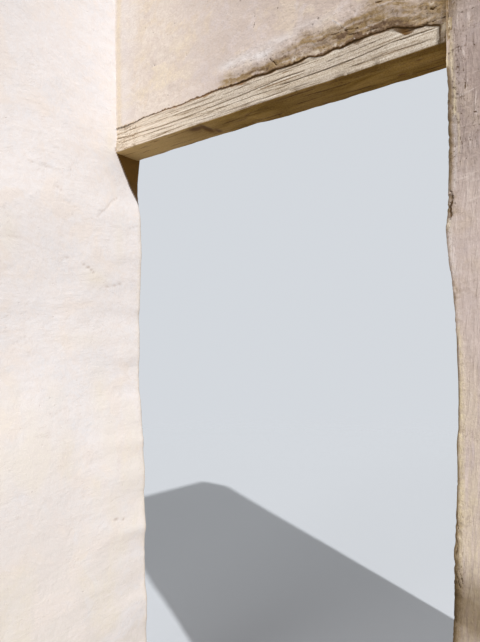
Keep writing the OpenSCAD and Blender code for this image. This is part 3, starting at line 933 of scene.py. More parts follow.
# Seam between the pier and the wall behind it: the corners' radius there, how far the wall reaches into the
# pier, the step beside it, and how near to it both follow one line
seam = {"radius": 0.0002, "overlap": 0.0004, "step": 0.0007, "near": 0.001}
rightRadii = [gate["arrisRadius"]] + [gate["cornerRadius"]] * 3
rightWall = {
    "fineStep": 0.0019,
    "coarseStep": 0.03,
    "levelStep": 0.0034,
    "coarseLevel": 0.02,
    "wallStep": 0.016,
    # Height above the ground and how far the front arris stands back from the opening
    "arris": [(0, 0.0024), (0.3, 0.0064), (0.6, 0.0104), (0.9, 0.0134), (0.94, 0.0146), (0.98, 0.0162),
              (1.014, 0.0174), (1.06, 0.0172), (1.105, 0.0176), (1.15, 0.0174), (1.175, 0.0184),
              (1.193, 0.0196), (1.24, 0.0229), (1.283, 0.0242), (1.33, 0.0234), (1.37, 0.0222),
              (1.415, 0.0242), (1.46, 0.0243), (1.505, 0.0239), (1.55, 0.0221), (1.595, 0.0209),
              (1.616, 0.019), (1.64, 0.0179), (1.66, 0.0172), (1.683, 0.0142), (1.706, 0.0132),
              (1.728, 0.011), (1.75, 0.008), (1.773, 0.0049), (1.797, 0.0019), (1.82, 0.0003),
              (1.842, -0.0004), (1.864, 0.0006), (1.886, 0.0015), (1.908, 0.0026), (1.93, 0.0034),
              (1.952, 0.0042), (1.99, 0.0053), (2.04, 0.005), (2.084, 0.0039), (2.13, 0.0039),
              (2.176, 0.0043), (2.2, 0.0022), (2.235, 0.0021), (2.27, 0.0011), (3.2, 0)],
    # Waves along the rest of that face (height, length, level of a crest), and how far it is worn back
    "waves": [(0.011, 1.7, 1.36), (0.003, 0.6, 1.545)],
    "wornBack": 0.010,
    # Marks on the pier's front: line in (X, Z), height, width, crack
    "marks": [
        ([(0.560, 2.345), (0.607, 2.3353), (0.637, 2.3266), (0.6724, 2.3158), (0.72, 2.305)],
         0.0014, 0.0022, 0.0),
        ([(0.660, 2.3192), (0.669, 2.3156)], -0.0010, 0.0016, 0.8),
        ([(0.612, 2.235), (0.6145, 2.2393), (0.6264, 2.2430), (0.634, 2.2435), (0.6413, 2.241)],
         -0.0010, 0.0014, 0.7),
        ([(0.6632, 2.262), (0.6642, 2.2422), (0.6683, 2.2289)], -0.0010, 0.0015, 0.7),
        ([(0.6611, 2.3168), (0.6632, 2.2981)], 0.0008, 0.0014, 0.0),
        ([(0.6652, 2.27), (0.6663, 2.2609)], 0.0008, 0.0014, 0.0),
        ([(0.631, 2.238), (0.638, 2.224), (0.642, 2.212)], -0.0008, 0.0014, 0.5),
        ([(0.633, 2.206), (0.6345, 2.192)], -0.0010, 0.0015, 0.7),
        ([(0.633, 2.184), (0.638, 2.178)], -0.0010, 0.0015, 0.7),
        ([(0.637, 2.176), (0.644, 2.170)], -0.0008, 0.0014, 0.5),
        ([(0.6495, 2.158), (0.6505, 2.142)], -0.0010, 0.0015, 0.6),
        ([(0.669, 2.085), (0.676, 2.081)], -0.0010, 0.0014, 0.7),
        ([(0.66, 2.032), (0.662, 2.026)], -0.0008, 0.0014, 0.5),
        ([(0.650, 1.99), (0.656, 1.988)], -0.0008, 0.0014, 0.5),
        ([(0.6175, 1.925), (0.6225, 1.922), (0.6235, 1.903), (0.620, 1.893)], -0.0020, 0.0016, 1.0),
        ([(0.618, 1.898), (0.617, 1.880)], -0.0020, 0.0016, 1.0),
        ([(0.6195, 1.888), (0.6215, 1.87), (0.6185, 1.862)], -0.0020, 0.0016, 1.0),
        ([(0.65, 1.88), (0.656, 1.79), (0.66, 1.70)], 0.0007, 0.0016, 0.0),
        ([(0.672, 1.66), (0.668, 1.52), (0.671, 1.40)], 0.0007, 0.0016, 0.0),
        ([(0.645, 1.50), (0.652, 1.38), (0.65, 1.27)], 0.0007, 0.0016, 0.0),
        ([(0.648, 1.71), (0.662, 1.705), (0.668, 1.695)], 0.0007, 0.0016, 0.0),
        ([(0.632, 1.215), (0.629, 1.19), (0.636, 1.178)], -0.0012, 0.0018, 0.7),
        ([(0.629, 1.165), (0.634, 1.14), (0.631, 1.12)], -0.0012, 0.0018, 0.6),
        ([(0.632, 1.10), (0.641, 1.08), (0.645, 1.062)], -0.0012, 0.0018, 0.6),
        ([(0.629, 1.085), (0.636, 1.065), (0.640, 1.05)], -0.0012, 0.0018, 0.6),
    ],
    # Painted along the arris: line in (X of the plan, Z), half width, strength. Cream lines are the arris's
    # yellowish wear and a painted highlight where it turns from the light; shaded lines are painted shade
    "creamLines": [
        ([(0.609, 2.285), (0.6125, 2.248), (0.6135, 2.225), (0.6155, 2.20)], 0.0075, 1.0),
        ([(0.613, 1.862), (0.6145, 1.842)], 0.004, 0.9),
        ([(0.6175, 2.20), (0.6205, 2.165), (0.6235, 2.13), (0.6245, 2.09)], 0.0042, 0.95),
        ([(0.632, 2.09), (0.633, 2.0)], 0.0025, 0.6),
        ([(0.6165, 1.62), (0.6165, 1.45), (0.6155, 1.10)], 0.0075, 0.65),
    ],
    "paleLines": [
        ([(0.6235, 2.09), (0.6250, 2.0), (0.624, 1.93)], 0.0035, 0.40),
        ([(0.618, 1.86), (0.618, 1.74)], 0.007, 0.35),
    ],
    "shadedLines": [
        ([(0.611, 1.14), (0.612, 1.08), (0.612, 0.93)], 0.008, 0.85),
        ([(0.6105, 1.6), (0.611, 1.14)], 0.004, 0.5),
        ([(0.610, 2.20), (0.612, 2.16), (0.6145, 2.12), (0.6135, 2.06), (0.6145, 2.0), (0.6135, 1.93)],
         0.0042, 0.8),
    ],
    # Clear dark outlines on the pier's front: line in (X, Z), half width, strength
    "outlines": [
        ([(0.6125, 2.2335), (0.6175, 2.238), (0.6264, 2.243), (0.634, 2.2435), (0.6413, 2.241)], 0.0011, 0.6),
        ([(0.6632, 2.262), (0.6636, 2.2422), (0.6665, 2.234), (0.670, 2.2289)], 0.0011, 0.5),
        ([(0.6640, 2.276), (0.6670, 2.2745)], 0.0014, 0.6),
        ([(0.6130, 1.9168), (0.619, 1.918), (0.6205, 1.910), (0.620, 1.8938), (0.614, 1.893)], 0.0013, 0.8),
        ([(0.6130, 1.8905), (0.619, 1.8895), (0.6195, 1.876), (0.618, 1.866), (0.6135, 1.865)], 0.0013, 0.9),
        ([(0.6125, 1.9168), (0.6130, 1.8905), (0.6135, 1.865)], 0.0012, 0.6),
    ],
    # Brown and crumbling patches: middle in (X, Z), half sizes, strength
    "brownPatches": [((0.620, 1.03), (0.022, 0.08), 0.5), ((0.612, 2.05), (0.004, 0.06), 0.5)],
    "crumbling": [((0.636, 2.17), (0.014, 0.10), 1.0)],
    # Height above the ground, and how much darker the pier's foot is there
    "tone": [(0, 0.6), (0.4, 0.6), (0.7, 0.57), (0.86, 0.55), (0.930, 0.54), (0.948, 0.67), (0.965, 0.85),
             (0.983, 1.0), (1.018, 1.0), (1.035, 0.93), (1.053, 0.78), (1.070, 0.55), (1.088, 0.36),
             (1.105, 0.19), (1.13, 0.10), (1.2, 0.06), (1.35, 0.02), (1.5, 0.0), (3.2, 0.0)],
    # Height above the ground, and how dull the pier's front is there
    "dull": [(0, 0.1), (1.3, 0.0), (1.75, 0.0), (1.86, 0.05), (1.94, 0.25), (2.01, 0.6), (2.06, 0.78),
             (2.19, 0.84), (2.24, 0.8), (2.28, 0.66), (2.32, 0.48), (2.4, 0.5), (3.2, 0.5)],
    # Chips out of the front arris: height above the ground, half length, depth, brown
    "chips": [
        (2.152, 0.012, 0.004, 0.7), (2.133, 0.006, 0.003, 0.8), (2.112, 0.007, 0.003, 0.6),
        (2.08, 0.006, 0.003, 0.7), (2.049, 0.006, 0.003, 0.6), (2.028, 0.008, 0.003, 0.6),
        (1.915, 0.010, 0.0045, 0.9), (1.885, 0.014, 0.0055, 1.0), (1.858, 0.008, 0.003, 0.4),
        (1.70, 0.03, 0.002, 0.7), (1.40, 0.01, 0.002, 0.5), (1.191, 0.009, 0.0045, 0.8),
        (1.172, 0.008, 0.004, 0.9), (1.148, 0.014, 0.004, 0.6), (1.10, 0.008, 0.003, 0.4),
        (1.063, 0.013, 0.0045, 0.7), (1.03, 0.01, 0.004, 0.8), (0.98, 0.012, 0.003, 0.5),
    ],
}


# Right walls' push outwards. To the passage: worn back below the lintel, as measured at the front arris.
# Elsewhere: the batter and the ripples, kept inside the solid.
def rightOut(x, y, z, nx, ny):
    worn = (rightWall["wornBack"] + waveTrain(z, rightWall["waves"])) * belowLintel(z) * ease(z / fadeUp)
    near = ease(1 - (y - pierFrontY) / 0.25)
    jamb = -mix(worn, smoothLine(z, rightWall["arris"]), near) + ripple(y, z, 130) * offHeader(y)
    outer = gate["batter"] * (1 - z / wallTop) + ripple(y, z, 310) - wavedAt(z) - 0.003
    front = (ripple(x, z, 15) - wavedAt(z)) / 2 * ease((x - jambX - 0.05) / 0.1) - 0.001
    front = front - settledAt(z) * ease((0.74 - x) / 0.10)
    back = (ripple(x, z, 150) - wavedAt(z)) / 2 - 0.003
    share = shareAtArris(x, y, nx, jambX, pierFrontY)
    moveX = np.where((nx < 0) | ((nx < 0.01) & (ny < 0) & (x < 0.75)), -jamb * share, nx * outer)
    besideSeam = np.abs(y - pierBackY) < seam["near"]
    moveX = np.where(besideSeam, np.where(x < (jambX + outerX) / 2, -jamb, outer), moveX)
    return moveX, np.where(ny < 0, front, back)


def rightSurface(plan, levels):
    x, y, z, nx, ny = spreadPlan(plan, levels, (jambX, pierFrontY), (1, 1), pierTightAt)
    outX, outY = rightOut(x, y, z, nx, ny)
    outY = outY * (np.abs(y - pierBackY) > seam["near"] / 2)
    return np.stack([x + outX, y + ny * outY, z], -1), x, y, z, nx, ny


# Step along the faces, short beside the seam, so that no shade spreads from it
def atSeam(step):
    return lambda y: mix(seam["step"], step, ease((np.abs(y - pierBackY) - 0.0015) / 0.02))


# Pier: as the left wall, with a finer grid in front, where its arris is chipped and its foot is stained
def buildRightPier():
    look = rightWall
    coarse = look["coarseStep"]
    front = lambda x: mix(look["fineStep"], coarse, ease((x - 0.70) / 0.10))
    toPassage = lambda y: mix(0.006, atSeam(coarse)(y), ease(y / 0.25))
    plan = wallPlan(jambX, outerX, pierFrontY, pierBackY, rightRadii[:2] + [seam["radius"]] * 2,
                    [16, 8, 1, 1], [front, atSeam(coarse), evenStep(coarse), toPassage])
    levels = stops(0, wallTop, lambda z: mix(look["levelStep"], look["coarseLevel"],
                                             ease((0.93 - z) / 0.1) + ease((z - 2.40) / 0.1)))
    points, x, y, z, nx, ny = rightSurface(plan, levels)
    inFront = ease((-ny - 0.3) / 0.4)
    nearFront = ease((-0.03 - y) / 0.03)
    relief, fissure = drawMarks(points[..., 0], z, look["marks"], 0.55)
    relief = relief + 0.00035 * roughNoise(points, (0.012, 0.012, 0.05), 2, 47)
    atArris = bell(np.hypot(x - jambX - 0.006, y - pierFrontY - 0.006), 0.016) * (z < 2.262)
    crumbs = roughNoise(points, (0.016, 0.016, 0.022), 3, 53)
    relief = trowelled(points, 41) + relief * inFront
    relief = relief + atArris * (0.0005 * crumbs - 0.0012 * ease((crumbs - 0.45) / 0.3))
    brown = np.zeros(z.shape)
    jagged = atArris * ease((roughNoise(points, 0.012, 2, 61) + 0.9) / 0.8)
    for level, half, depth, dark in look["chips"]:
        chip = bell(z - level + 0.25 * (x - jambX), half) * jagged
        relief = relief - 0.6 * depth * chip
        brown = np.maximum(brown, dark * chip)
    points = outwards(points, nx, ny, relief * (ny < 0.5))
    # The corner under the header's foot, the arris turned to the passage, and where the plaster crumbles
    corner = np.clip(1.2 * bell(np.hypot(x - jambX, (z - 2.42) / 3), 0.035), 0, 1) * inFront
    uneven = roughNoise(points, (0.006, 0.02, 0.09), 3, 67)
    turned = ease((-nx - 0.25) / 0.25) * nearFront * ease((uneven + 1.2) / 0.8)
    dirt = np.maximum(0.5 * footDirt(points, 0.2), patchMask(x, z, look["brownPatches"]) * nearFront)
    crumbling = atArris * bell(z - 1.12, 0.13) + 0.5 * inFront * bell(z - 2.03, 0.09)
    crumbling = crumbling + 0.9 * inFront * patchMask(x, z, look["crumbling"])
    tone = mix(smoothLine(z, look["tone"]), 0.6 * ease((1.16 - z) / 0.3), ease((x - 0.70) / 0.1))
    cream = lineMask(x, z, look["creamLines"]) * ease((uneven + 0.9) / 0.8)
    cream = cream + 0.35 * inFront * ease((1.62 - z) / 0.2) * ease((uneven + 0.7) / 0.8)
    cream = cream + 0.2 * inFront * ease((1.32 - z) / 0.1)
    # Painted highlight: cream on the side turned to the passage, just below the header's foot
    cream = cream + 0.9 * turned * ease((z - 2.19) / 0.02) * ease((2.265 - z) / 0.01)
    # Painted shade on the arris's side turned from the light, and along the shaded lines
    shelteredAndPaintedShade = 0.55 * ease((-nx - 0.55) / 0.18) * ease((2.19 - z) / 0.03)
    shelteredAndPaintedShade = shelteredAndPaintedShade + lineMask(x, z, look["shadedLines"]) * ease((crumbs + 1.1) / 0.8)
    pale = lineMask(x, z, look["paleLines"]) * (y < 0) + ease((nx - 0.2) / 0.5) + ease((z - 2.5) / 0.5)
    pale = pale + ease((y - 0.02) / 0.22) * ease((0.8 + nx * nx) / 0.5)
    masks = {
        "worn": 0.6 * atArris * mix(0.7, 1.3, ease((1.35 - z) / 0.3)),
        "cream": np.clip(cream, 0, 1) * nearFront,
        "tone": np.clip(tone * (1 + 0.2 * roughNoise(points, (0.03, 0.03, 0.02), 3, 71)), 0, 1)
                * ease((0.10 - y) / 0.16),
        "shelteredAndPaintedShade": np.clip(shelteredAndPaintedShade, 0, 0.9) * nearFront * ease((2.27 - z) / 0.03),
        "fissure": fissure * inFront,
        "crack": lineMask(points[..., 0], z, look["outlines"]) * inFront,
        "stainAndShade": np.max([brown, turned * ease((z - 2.258) / 0.01), corner, dirt], axis=0),
        "sootAndShade": 0.5 * corner * ease((0.64 - x) / 0.03) * ease((z - 2.30) / 0.03),
        "dull": smoothLine(z, look["dull"]) * ease((0.9 - x) / 0.15) * inFront,
        "rough": 0.35 * atArris + corner + crumbling + 0.3 * inFront * ease((z - 1.9) / 0.2),
        "pale": pale,
    }
    return ringPiece("right_pier_plaster", points, masks, pinkPlaster, ["right_pier"])


def buildRightWall():
    step = rightWall["wallStep"]
    even = evenStep(step)
    plan = wallPlan(jambX, outerX, pierBackY - seam["overlap"], gate["wallLength"],
                    [seam["radius"]] * 2 + rightRadii[2:], [1, 1, 8, 8], [even, atSeam(step)] * 2)
    points, *_, nx, ny = rightSurface(plan, stops(0, wallTop, even))
    points = outwards(points, nx, ny, trowelled(points, 41) * (ny > -0.5))
    masks = {
        "stainAndShade": 0.35 * footDirt(points, 0.16),
        "cream": 0.5 * ease((roughNoise(points, (0.3, 0.3, 0.5), 3, 71) - 0.3) / 0.5),
    }
    return ringPiece("right_wall_plaster", points, masks, limewash, ["right_wall"])


buildRightPier()
buildRightWall()

crowns = {"rings": 26, "topAngle": 84, "waver": 0.005, "step": 0.016}


# Crown on a wall's head: the head's outline drawn in along a quarter turn of cosines while it rises
# along the sine, evenly from both faces and both ends, and settled a little by noise
def crownRings(head, seed):
    a = np.radians(np.linspace(0, crowns["topAngle"], crowns["rings"]))[:, None]
    low, high = head.min(0), head.max(0)
    middle, half = (low + high) / 2, (high - low) / 2
    draw = half[0] * (1 - np.cos(a))
    x = middle[0] + (head[:, 0] - middle[0]) * (1 - draw / half[0])
    y = middle[1] + (head[:, 1] - middle[1]) * (1 - draw / half[1])
    z = wallTop + gate["crownRise"] * np.sin(a) * np.ones(len(head))
    points = np.stack([x, y, z], -1)
    sink = crowns["waver"] * (0.5 + 0.5 * np.clip(roughNoise(points, 0.3, 3, seed), -1, 1)) * np.sin(a)
    points[..., 2] -= sink
    return points


# Crown of one wall, on the outline of that wall's top. Seeds: the wall's trowelling, the settling, the stains
def buildCrown(name, surface, plan, inset, seeds):
    points, *_, nx, ny = surface(plan, np.array([wallTop]))
    head = outwards(points, nx, ny, trowelled(points, seeds[0]) - inset * (nx < -0.5))
    rings = crownRings(head[0], seeds[1])
    lift = (rings[..., 2] - wallTop) / gate["crownRise"]
    patches = roughNoise(rings, 0.16, 4, seeds[2])
    masks = {"stainAndShade": 0.30 * ease(lift / 0.8) * ease((patches + 0.15) / 0.6),
             "cream": 0.35 * ease((patches - 0.1) / 0.5)}
    return ringPiece(name + "_plaster", rings, masks, limewash, [name])


even = [evenStep(crowns["step"])] * 4
leftPlan = wallPlan(-outerX, -jambX, -gate["wallLength"], leftBackY, leftRadii, [8] * 4, even)
rightPlan = wallPlan(jambX, outerX, pierFrontY, gate["wallLength"], rightRadii, [8] * 4, even)
buildCrown("left_wall_crown", leftSurface, leftPlan, leftWall["outerInset"], (11, 83, 87))
buildCrown("right_wall_crown", rightSurface, rightPlan, 0, (41, 91, 95))

header = {
    # How far its ends reach into the walls, the steps of its grid, and the fillet into the left wall
    "into": 0.003,
    "columnFine": 0.0019,
    "columnCoarse": 0.0036,
    "rowFine": 0.0021,
    "rowCoarse": 0.011,
    "filletRadius": 0.012,
    "rearPale": 0.6,
    # X, height of the timber's face that the lip leaves bare
    "lipBare": [(-0.612, 0.0905), (-0.546, 0.0865), (-0.487, 0.0893), (-0.441, 0.0925), (-0.382, 0.0905),
                (-0.321, 0.091), (-0.285, 0.0877), (-0.227, 0.0885), (-0.177, 0.090), (-0.088, 0.088),
                (-0.034, 0.0852), (0.019, 0.0845), (0.064, 0.0848), (0.109, 0.0808), (0.133, 0.0832),
                (0.178, 0.0798), (0.217, 0.0806), (0.244, 0.0830), (0.262, 0.0775), (0.292, 0.0742),
                (0.313, 0.0785), (0.34, 0.0752), (0.371, 0.0780), (0.40, 0.0785), (0.429, 0.0788),
                (0.454, 0.0765), (0.481, 0.0755), (0.496, 0.0694), (0.508, 0.0640), (0.53, 0.0566),
                (0.5436, 0.0535), (0.563, 0.0507), (0.576, 0.0458), (0.592, 0.0405), (0.612, 0.037)],
    # X, thickness of the lip at its edge
    "edge": [(-0.612, 0.0003), (-0.3, 0.0004), (-0.09, 0.0006), (-0.06, 0.0012), (0.1, 0.0013), (0.2, 0.0018),
             (0.3, 0.0012), (0.36, 0.0014), (0.385, 0.0026), (0.41, 0.0014), (0.46, 0.0016), (0.485, 0.0032),
             (0.515, 0.0034), (0.545, 0.0016), (0.612, 0.0012)],
    # X, how far the belly stands out above the edge
    "belly": [(-0.612, 0.0), (-0.12, 0.0), (-0.075, 0.002), (-0.02, 0.0065), (0.08, 0.008), (0.2, 0.0095),
              (0.3, 0.0115), (0.42, 0.011), (0.52, 0.008), (0.612, 0.005)],
    # X, height of the belly's crest above the lip's edge
    "crest": [(-0.612, 0.05), (-0.06, 0.045), (0.0, 0.038), (0.1, 0.035), (0.145, 0.040), (0.2, 0.056),
              (0.35, 0.060), (0.45, 0.056), (0.55, 0.05), (0.612, 0.045)],
    # Cracks and wrinkles: line in (X, Z), height, width, crack
    "marks": [
        ([(0.117, 2.407), (0.127, 2.396), (0.136, 2.385)], -0.0025, 0.0014, 0.8),
        ([(0.122, 2.411), (0.132, 2.400), (0.141, 2.389)], 0.0010, 0.0018, 0.0),
        ([(0.322, 2.431), (0.346, 2.408), (0.368, 2.3825), (0.376, 2.373)], 0.0010, 0.0013, 0.0),
        ([(0.348, 2.384), (0.368, 2.384), (0.393, 2.386)], 0.0010, 0.0013, 0.0),
        ([(0.19, 2.46), (0.21, 2.455), (0.235, 2.45), (0.27, 2.452)], 0.0008, 0.0025, 0.0),
        ([(0.13, 2.435), (0.16, 2.44), (0.2, 2.437)], 0.0008, 0.002, 0.0),
        ([(0.444, 2.414), (0.459, 2.410), (0.472, 2.411)], 0.0012, 0.0016, 0.0),
        ([(0.415, 2.392), (0.439, 2.386), (0.462, 2.377)], 0.0008, 0.0014, 0.0),
        ([(0.440, 2.424), (0.450, 2.420), (0.458, 2.421)], -0.0015, 0.0018, 0.8),
        ([(0.5635, 2.3287), (0.5862, 2.3306), (0.6083, 2.3335)], 0.0012, 0.0018, 0.0),
        ([(0.5496, 2.3275), (0.5794, 2.3245), (0.6083, 2.3220)], -0.0012, 0.0015, 0.6),
        ([(0.571, 2.354), (0.578, 2.351), (0.584, 2.352)], -0.0015, 0.0018, 0.9),
        ([(0.36, 2.38), (0.385, 2.374), (0.41, 2.370), (0.44, 2.366)], -0.0008, 0.0014, 0.5),
        ([(0.30, 2.400), (0.33, 2.394), (0.36, 2.392), (0.39, 2.384)], -0.0008, 0.0014, 0.5),
        ([(0.056, 2.57), (0.060, 2.545), (0.055, 2.523)], -0.0006, 0.0022, 0.3),
        ([(0.143, 2.56), (0.139, 2.535), (0.143, 2.51)], -0.0006, 0.0022, 0.3),
        ([(-0.228, 2.553), (-0.226, 2.547)], -0.0012, 0.003, 0.6),
        ([(-0.39, 2.58), (-0.385, 2.572)], -0.0012, 0.003, 0.5),
    ],
    # X, and how dull the header is there
    "dull": [(-0.612, 0.0), (-0.5, 0.02), (-0.38, 0.14), (-0.25, 0.38), (-0.1, 0.6), (0.1, 0.85), (0.3, 1.0),
             (0.612, 1.0)],
    # Brown stains, partly painted shade under the belly: middle in (X, height above the lip's edge), half
    # sizes, strength
    "stainsAndShade": [
        ((-0.035, 0.020), (0.045, 0.020), 0.75), ((0.03, 0.014), (0.05, 0.011), 1.2),
        ((0.03, 0.024), (0.035, 0.008), 0.6), ((0.12, 0.012), (0.05, 0.009), 1.3),
        ((0.20, 0.013), (0.04, 0.009), 1.0), ((0.36, 0.012), (0.025, 0.007), 1.2),
        ((0.405, 0.021), (0.02, 0.007), 1.0), ((0.52, 0.036), (0.03, 0.010), 0.8),
        ((0.555, 0.030), (0.02, 0.006), 0.9),
        ((0.19, 0.012), (0.05, 0.016), 0.6), ((0.235, 0.050), (0.035, 0.020), 0.7),
        ((0.22, 0.028), (0.06, 0.026), 0.5), ((0.285, 0.030), (0.05, 0.026), 0.75),
        ((0.34, 0.024), (0.05, 0.022), 0.85), ((0.39, 0.03), (0.06, 0.03), 0.75),
        ((0.46, 0.02), (0.06, 0.03), 0.8), ((0.44, 0.06), (0.07, 0.03), 0.5),
        ((0.385, 0.010), (0.04, 0.014), 0.9), ((0.50, 0.012), (0.035, 0.016), 1.0),
        ((0.50, 0.066), (0.05, 0.026), 0.85),
        ((0.54, 0.03), (0.06, 0.03), 0.6), ((0.585, 0.05), (0.04, 0.05), 0.75),
        ((0.360, 0.0255), (0.026, 0.0165), 0.95), ((0.416, 0.020), (0.031, 0.009), 0.9),
        ((0.448, 0.0685), (0.009, 0.004), 1.0), ((0.584, 0.048), (0.007, 0.0035), 1.0),
        ((0.578, 0.037), (0.006, 0.0035), 1.0), ((0.5895, 0.027), (0.010, 0.0035), 1.0),
        ((0.512, 0.038), (0.010, 0.008), 0.9),
    ],
    # Darkest smears, partly painted shade under the belly: middle in (X, height above the lip's edge), half
    # sizes, strength
    "smears": [
        ((0.344, 0.0257), (0.020, 0.0085), 1.0), ((0.294, 0.034), (0.028, 0.005), 0.75),
        ((0.4425, 0.0153), (0.030, 0.008), 0.85), ((0.388, 0.0125), (0.013, 0.010), 0.8),
        ((0.048, 0.015), (0.030, 0.005), 0.7), ((0.1044, 0.012), (0.0125, 0.005), 0.6),
        ((0.347, 0.0413), (0.014, 0.005), 0.8), ((0.23, 0.012), (0.03, 0.004), 0.5),
        ((0.17, 0.024), (0.03, 0.005), 0.45), ((0.40, 0.035), (0.03, 0.004), 0.5),
        ((0.238, 0.058), (0.022, 0.006), 0.5), ((0.50, 0.070), (0.035, 0.014), 0.5),
        ((0.075, 0.012), (0.055, 0.005), 0.55), ((0.49, 0.011), (0.04, 0.008), 0.6),
    ],
    # X, and how strong the dark band is that follows the lip's edge, a gap and painted shade under the lip
    "shadedEdge": [(-0.612, 0.1), (-0.25, 0.25), (-0.08, 0.4), (0.02, 0.55), (0.08, 0.8), (0.13, 1.0),
                   (0.18, 0.85), (0.225, 0.6), (0.27, 1.2), (0.32, 0.9), (0.345, 1.3), (0.365, 1.4),
                   (0.42, 1.25), (0.45, 1.1), (0.52, 1.15), (0.545, 0.6), (0.575, 0.15), (0.612, 0.1)],
    # Fine pale scratches: line in (X, Z), half width, strength
    "paleLines": [
        ([(0.3195, 2.4309), (0.3513, 2.4008), (0.3696, 2.3794), (0.3805, 2.3581)], 0.0013, 1.0),
        ([(0.348, 2.384), (0.368, 2.384), (0.393, 2.386)], 0.0012, 0.7),
        ([(0.4121, 2.384), (0.4121, 2.3677)], 0.0012, 0.8),
        ([(0.256, 2.4014), (0.2678, 2.3793)], 0.0012, 0.8),
        ([(0.4201, 2.3911), (0.4412, 2.3854)], 0.0011, 0.7),
        ([(0.359, 2.377), (0.377, 2.3725)], 0.002, 0.5),
        ([(0.444, 2.414), (0.459, 2.410), (0.472, 2.411)], 0.0014, 0.7),
        ([(0.415, 2.392), (0.439, 2.386), (0.462, 2.377)], 0.0012, 0.5),
        ([(0.5635, 2.3287), (0.5862, 2.3306), (0.6083, 2.3335)], 0.0014, 0.6),
        ([(0.18, 2.43), (0.21, 2.42), (0.235, 2.405)], 0.0014, 0.4),
        ([(0.16, 2.42), (0.20, 2.432), (0.25, 2.435)], 0.0012, 0.35),
    ],
    # Pale crumbs near the lip's edge: middle in (X, height above the edge), half sizes, strength
    "crumbs": [
        ((0.334, 0.0075), (0.014, 0.006), 1.3), ((0.4925, 0.0048), (0.010, 0.0045), 0.65),
        ((0.268, 0.0125), (0.022, 0.005), 1.0), ((0.379, 0.003), (0.004, 0.004), 1.0),
        ((0.575, 0.046), (0.007, 0.006), 1.0), ((0.2, 0.010), (0.03, 0.007), 0.8),
        ((0.56, 0.018), (0.04, 0.008), 0.6), ((0.26, 0.006), (0.03, 0.004), 0.6),
        ((0.42, 0.006), (0.03, 0.004), 0.6), ((0.10, 0.006), (0.04, 0.004), 0.5),
    ],
    # Whitish plaster on the belly with painted highlights on its upper side: middle in (X, height above the
    # lip's edge), half sizes, strength
    "pale": [
        ((-0.04, 0.062), (0.05, 0.014), 0.75), ((0.02, 0.064), (0.04, 0.014), 0.7),
        ((0.085, 0.052), (0.05, 0.014), 0.85), ((0.15, 0.075), (0.06, 0.014), 0.5),
        ((0.25, 0.085), (0.07, 0.012), 0.35), ((0.584, 0.010), (0.012, 0.006), 0.55),
    ],
}


# Height of the lip's edge
def lipFootZ(x):
    return soffitZ(x) + smoothLine(x, header["lipBare"])


# Plaster in front of the header's plane at height h above the lip's edge: the edge's own thickness, then
# a belly that rises to its crest along a smooth step and sinks into the wall along a longer one
def lipThickness(x, h):
    edge = smoothLine(x, header["edge"])
    belly = smoothLine(x, header["belly"])
    crest = smoothLine(x, header["crest"])
    rise = ease(h / crest) ** 1.1
    fall = 1 - ease((h - crest) / 0.18)
    return mix(edge, 0.0012, ease(h / 0.09)) + 0.8 * belly * np.where(h < crest, rise, fall)


# Two sines across each other on the header's faces, fading out at its top
def headerWave(x, z, phase):
    turn, phase = 2 * np.pi, np.radians(phase)
    long = np.sin(turn * x / gate["waveLength"] + turn * z / gate["waveRise"] + phase)
    short = np.sin(turn * x / (0.45 * gate["waveLength"]) - turn * z / (0.5 * gate["waveRise"]))
    return gate["waveHeight"] * (0.7 * long + 0.3 * short) * ease((headerTop - z) / fadeAlong)


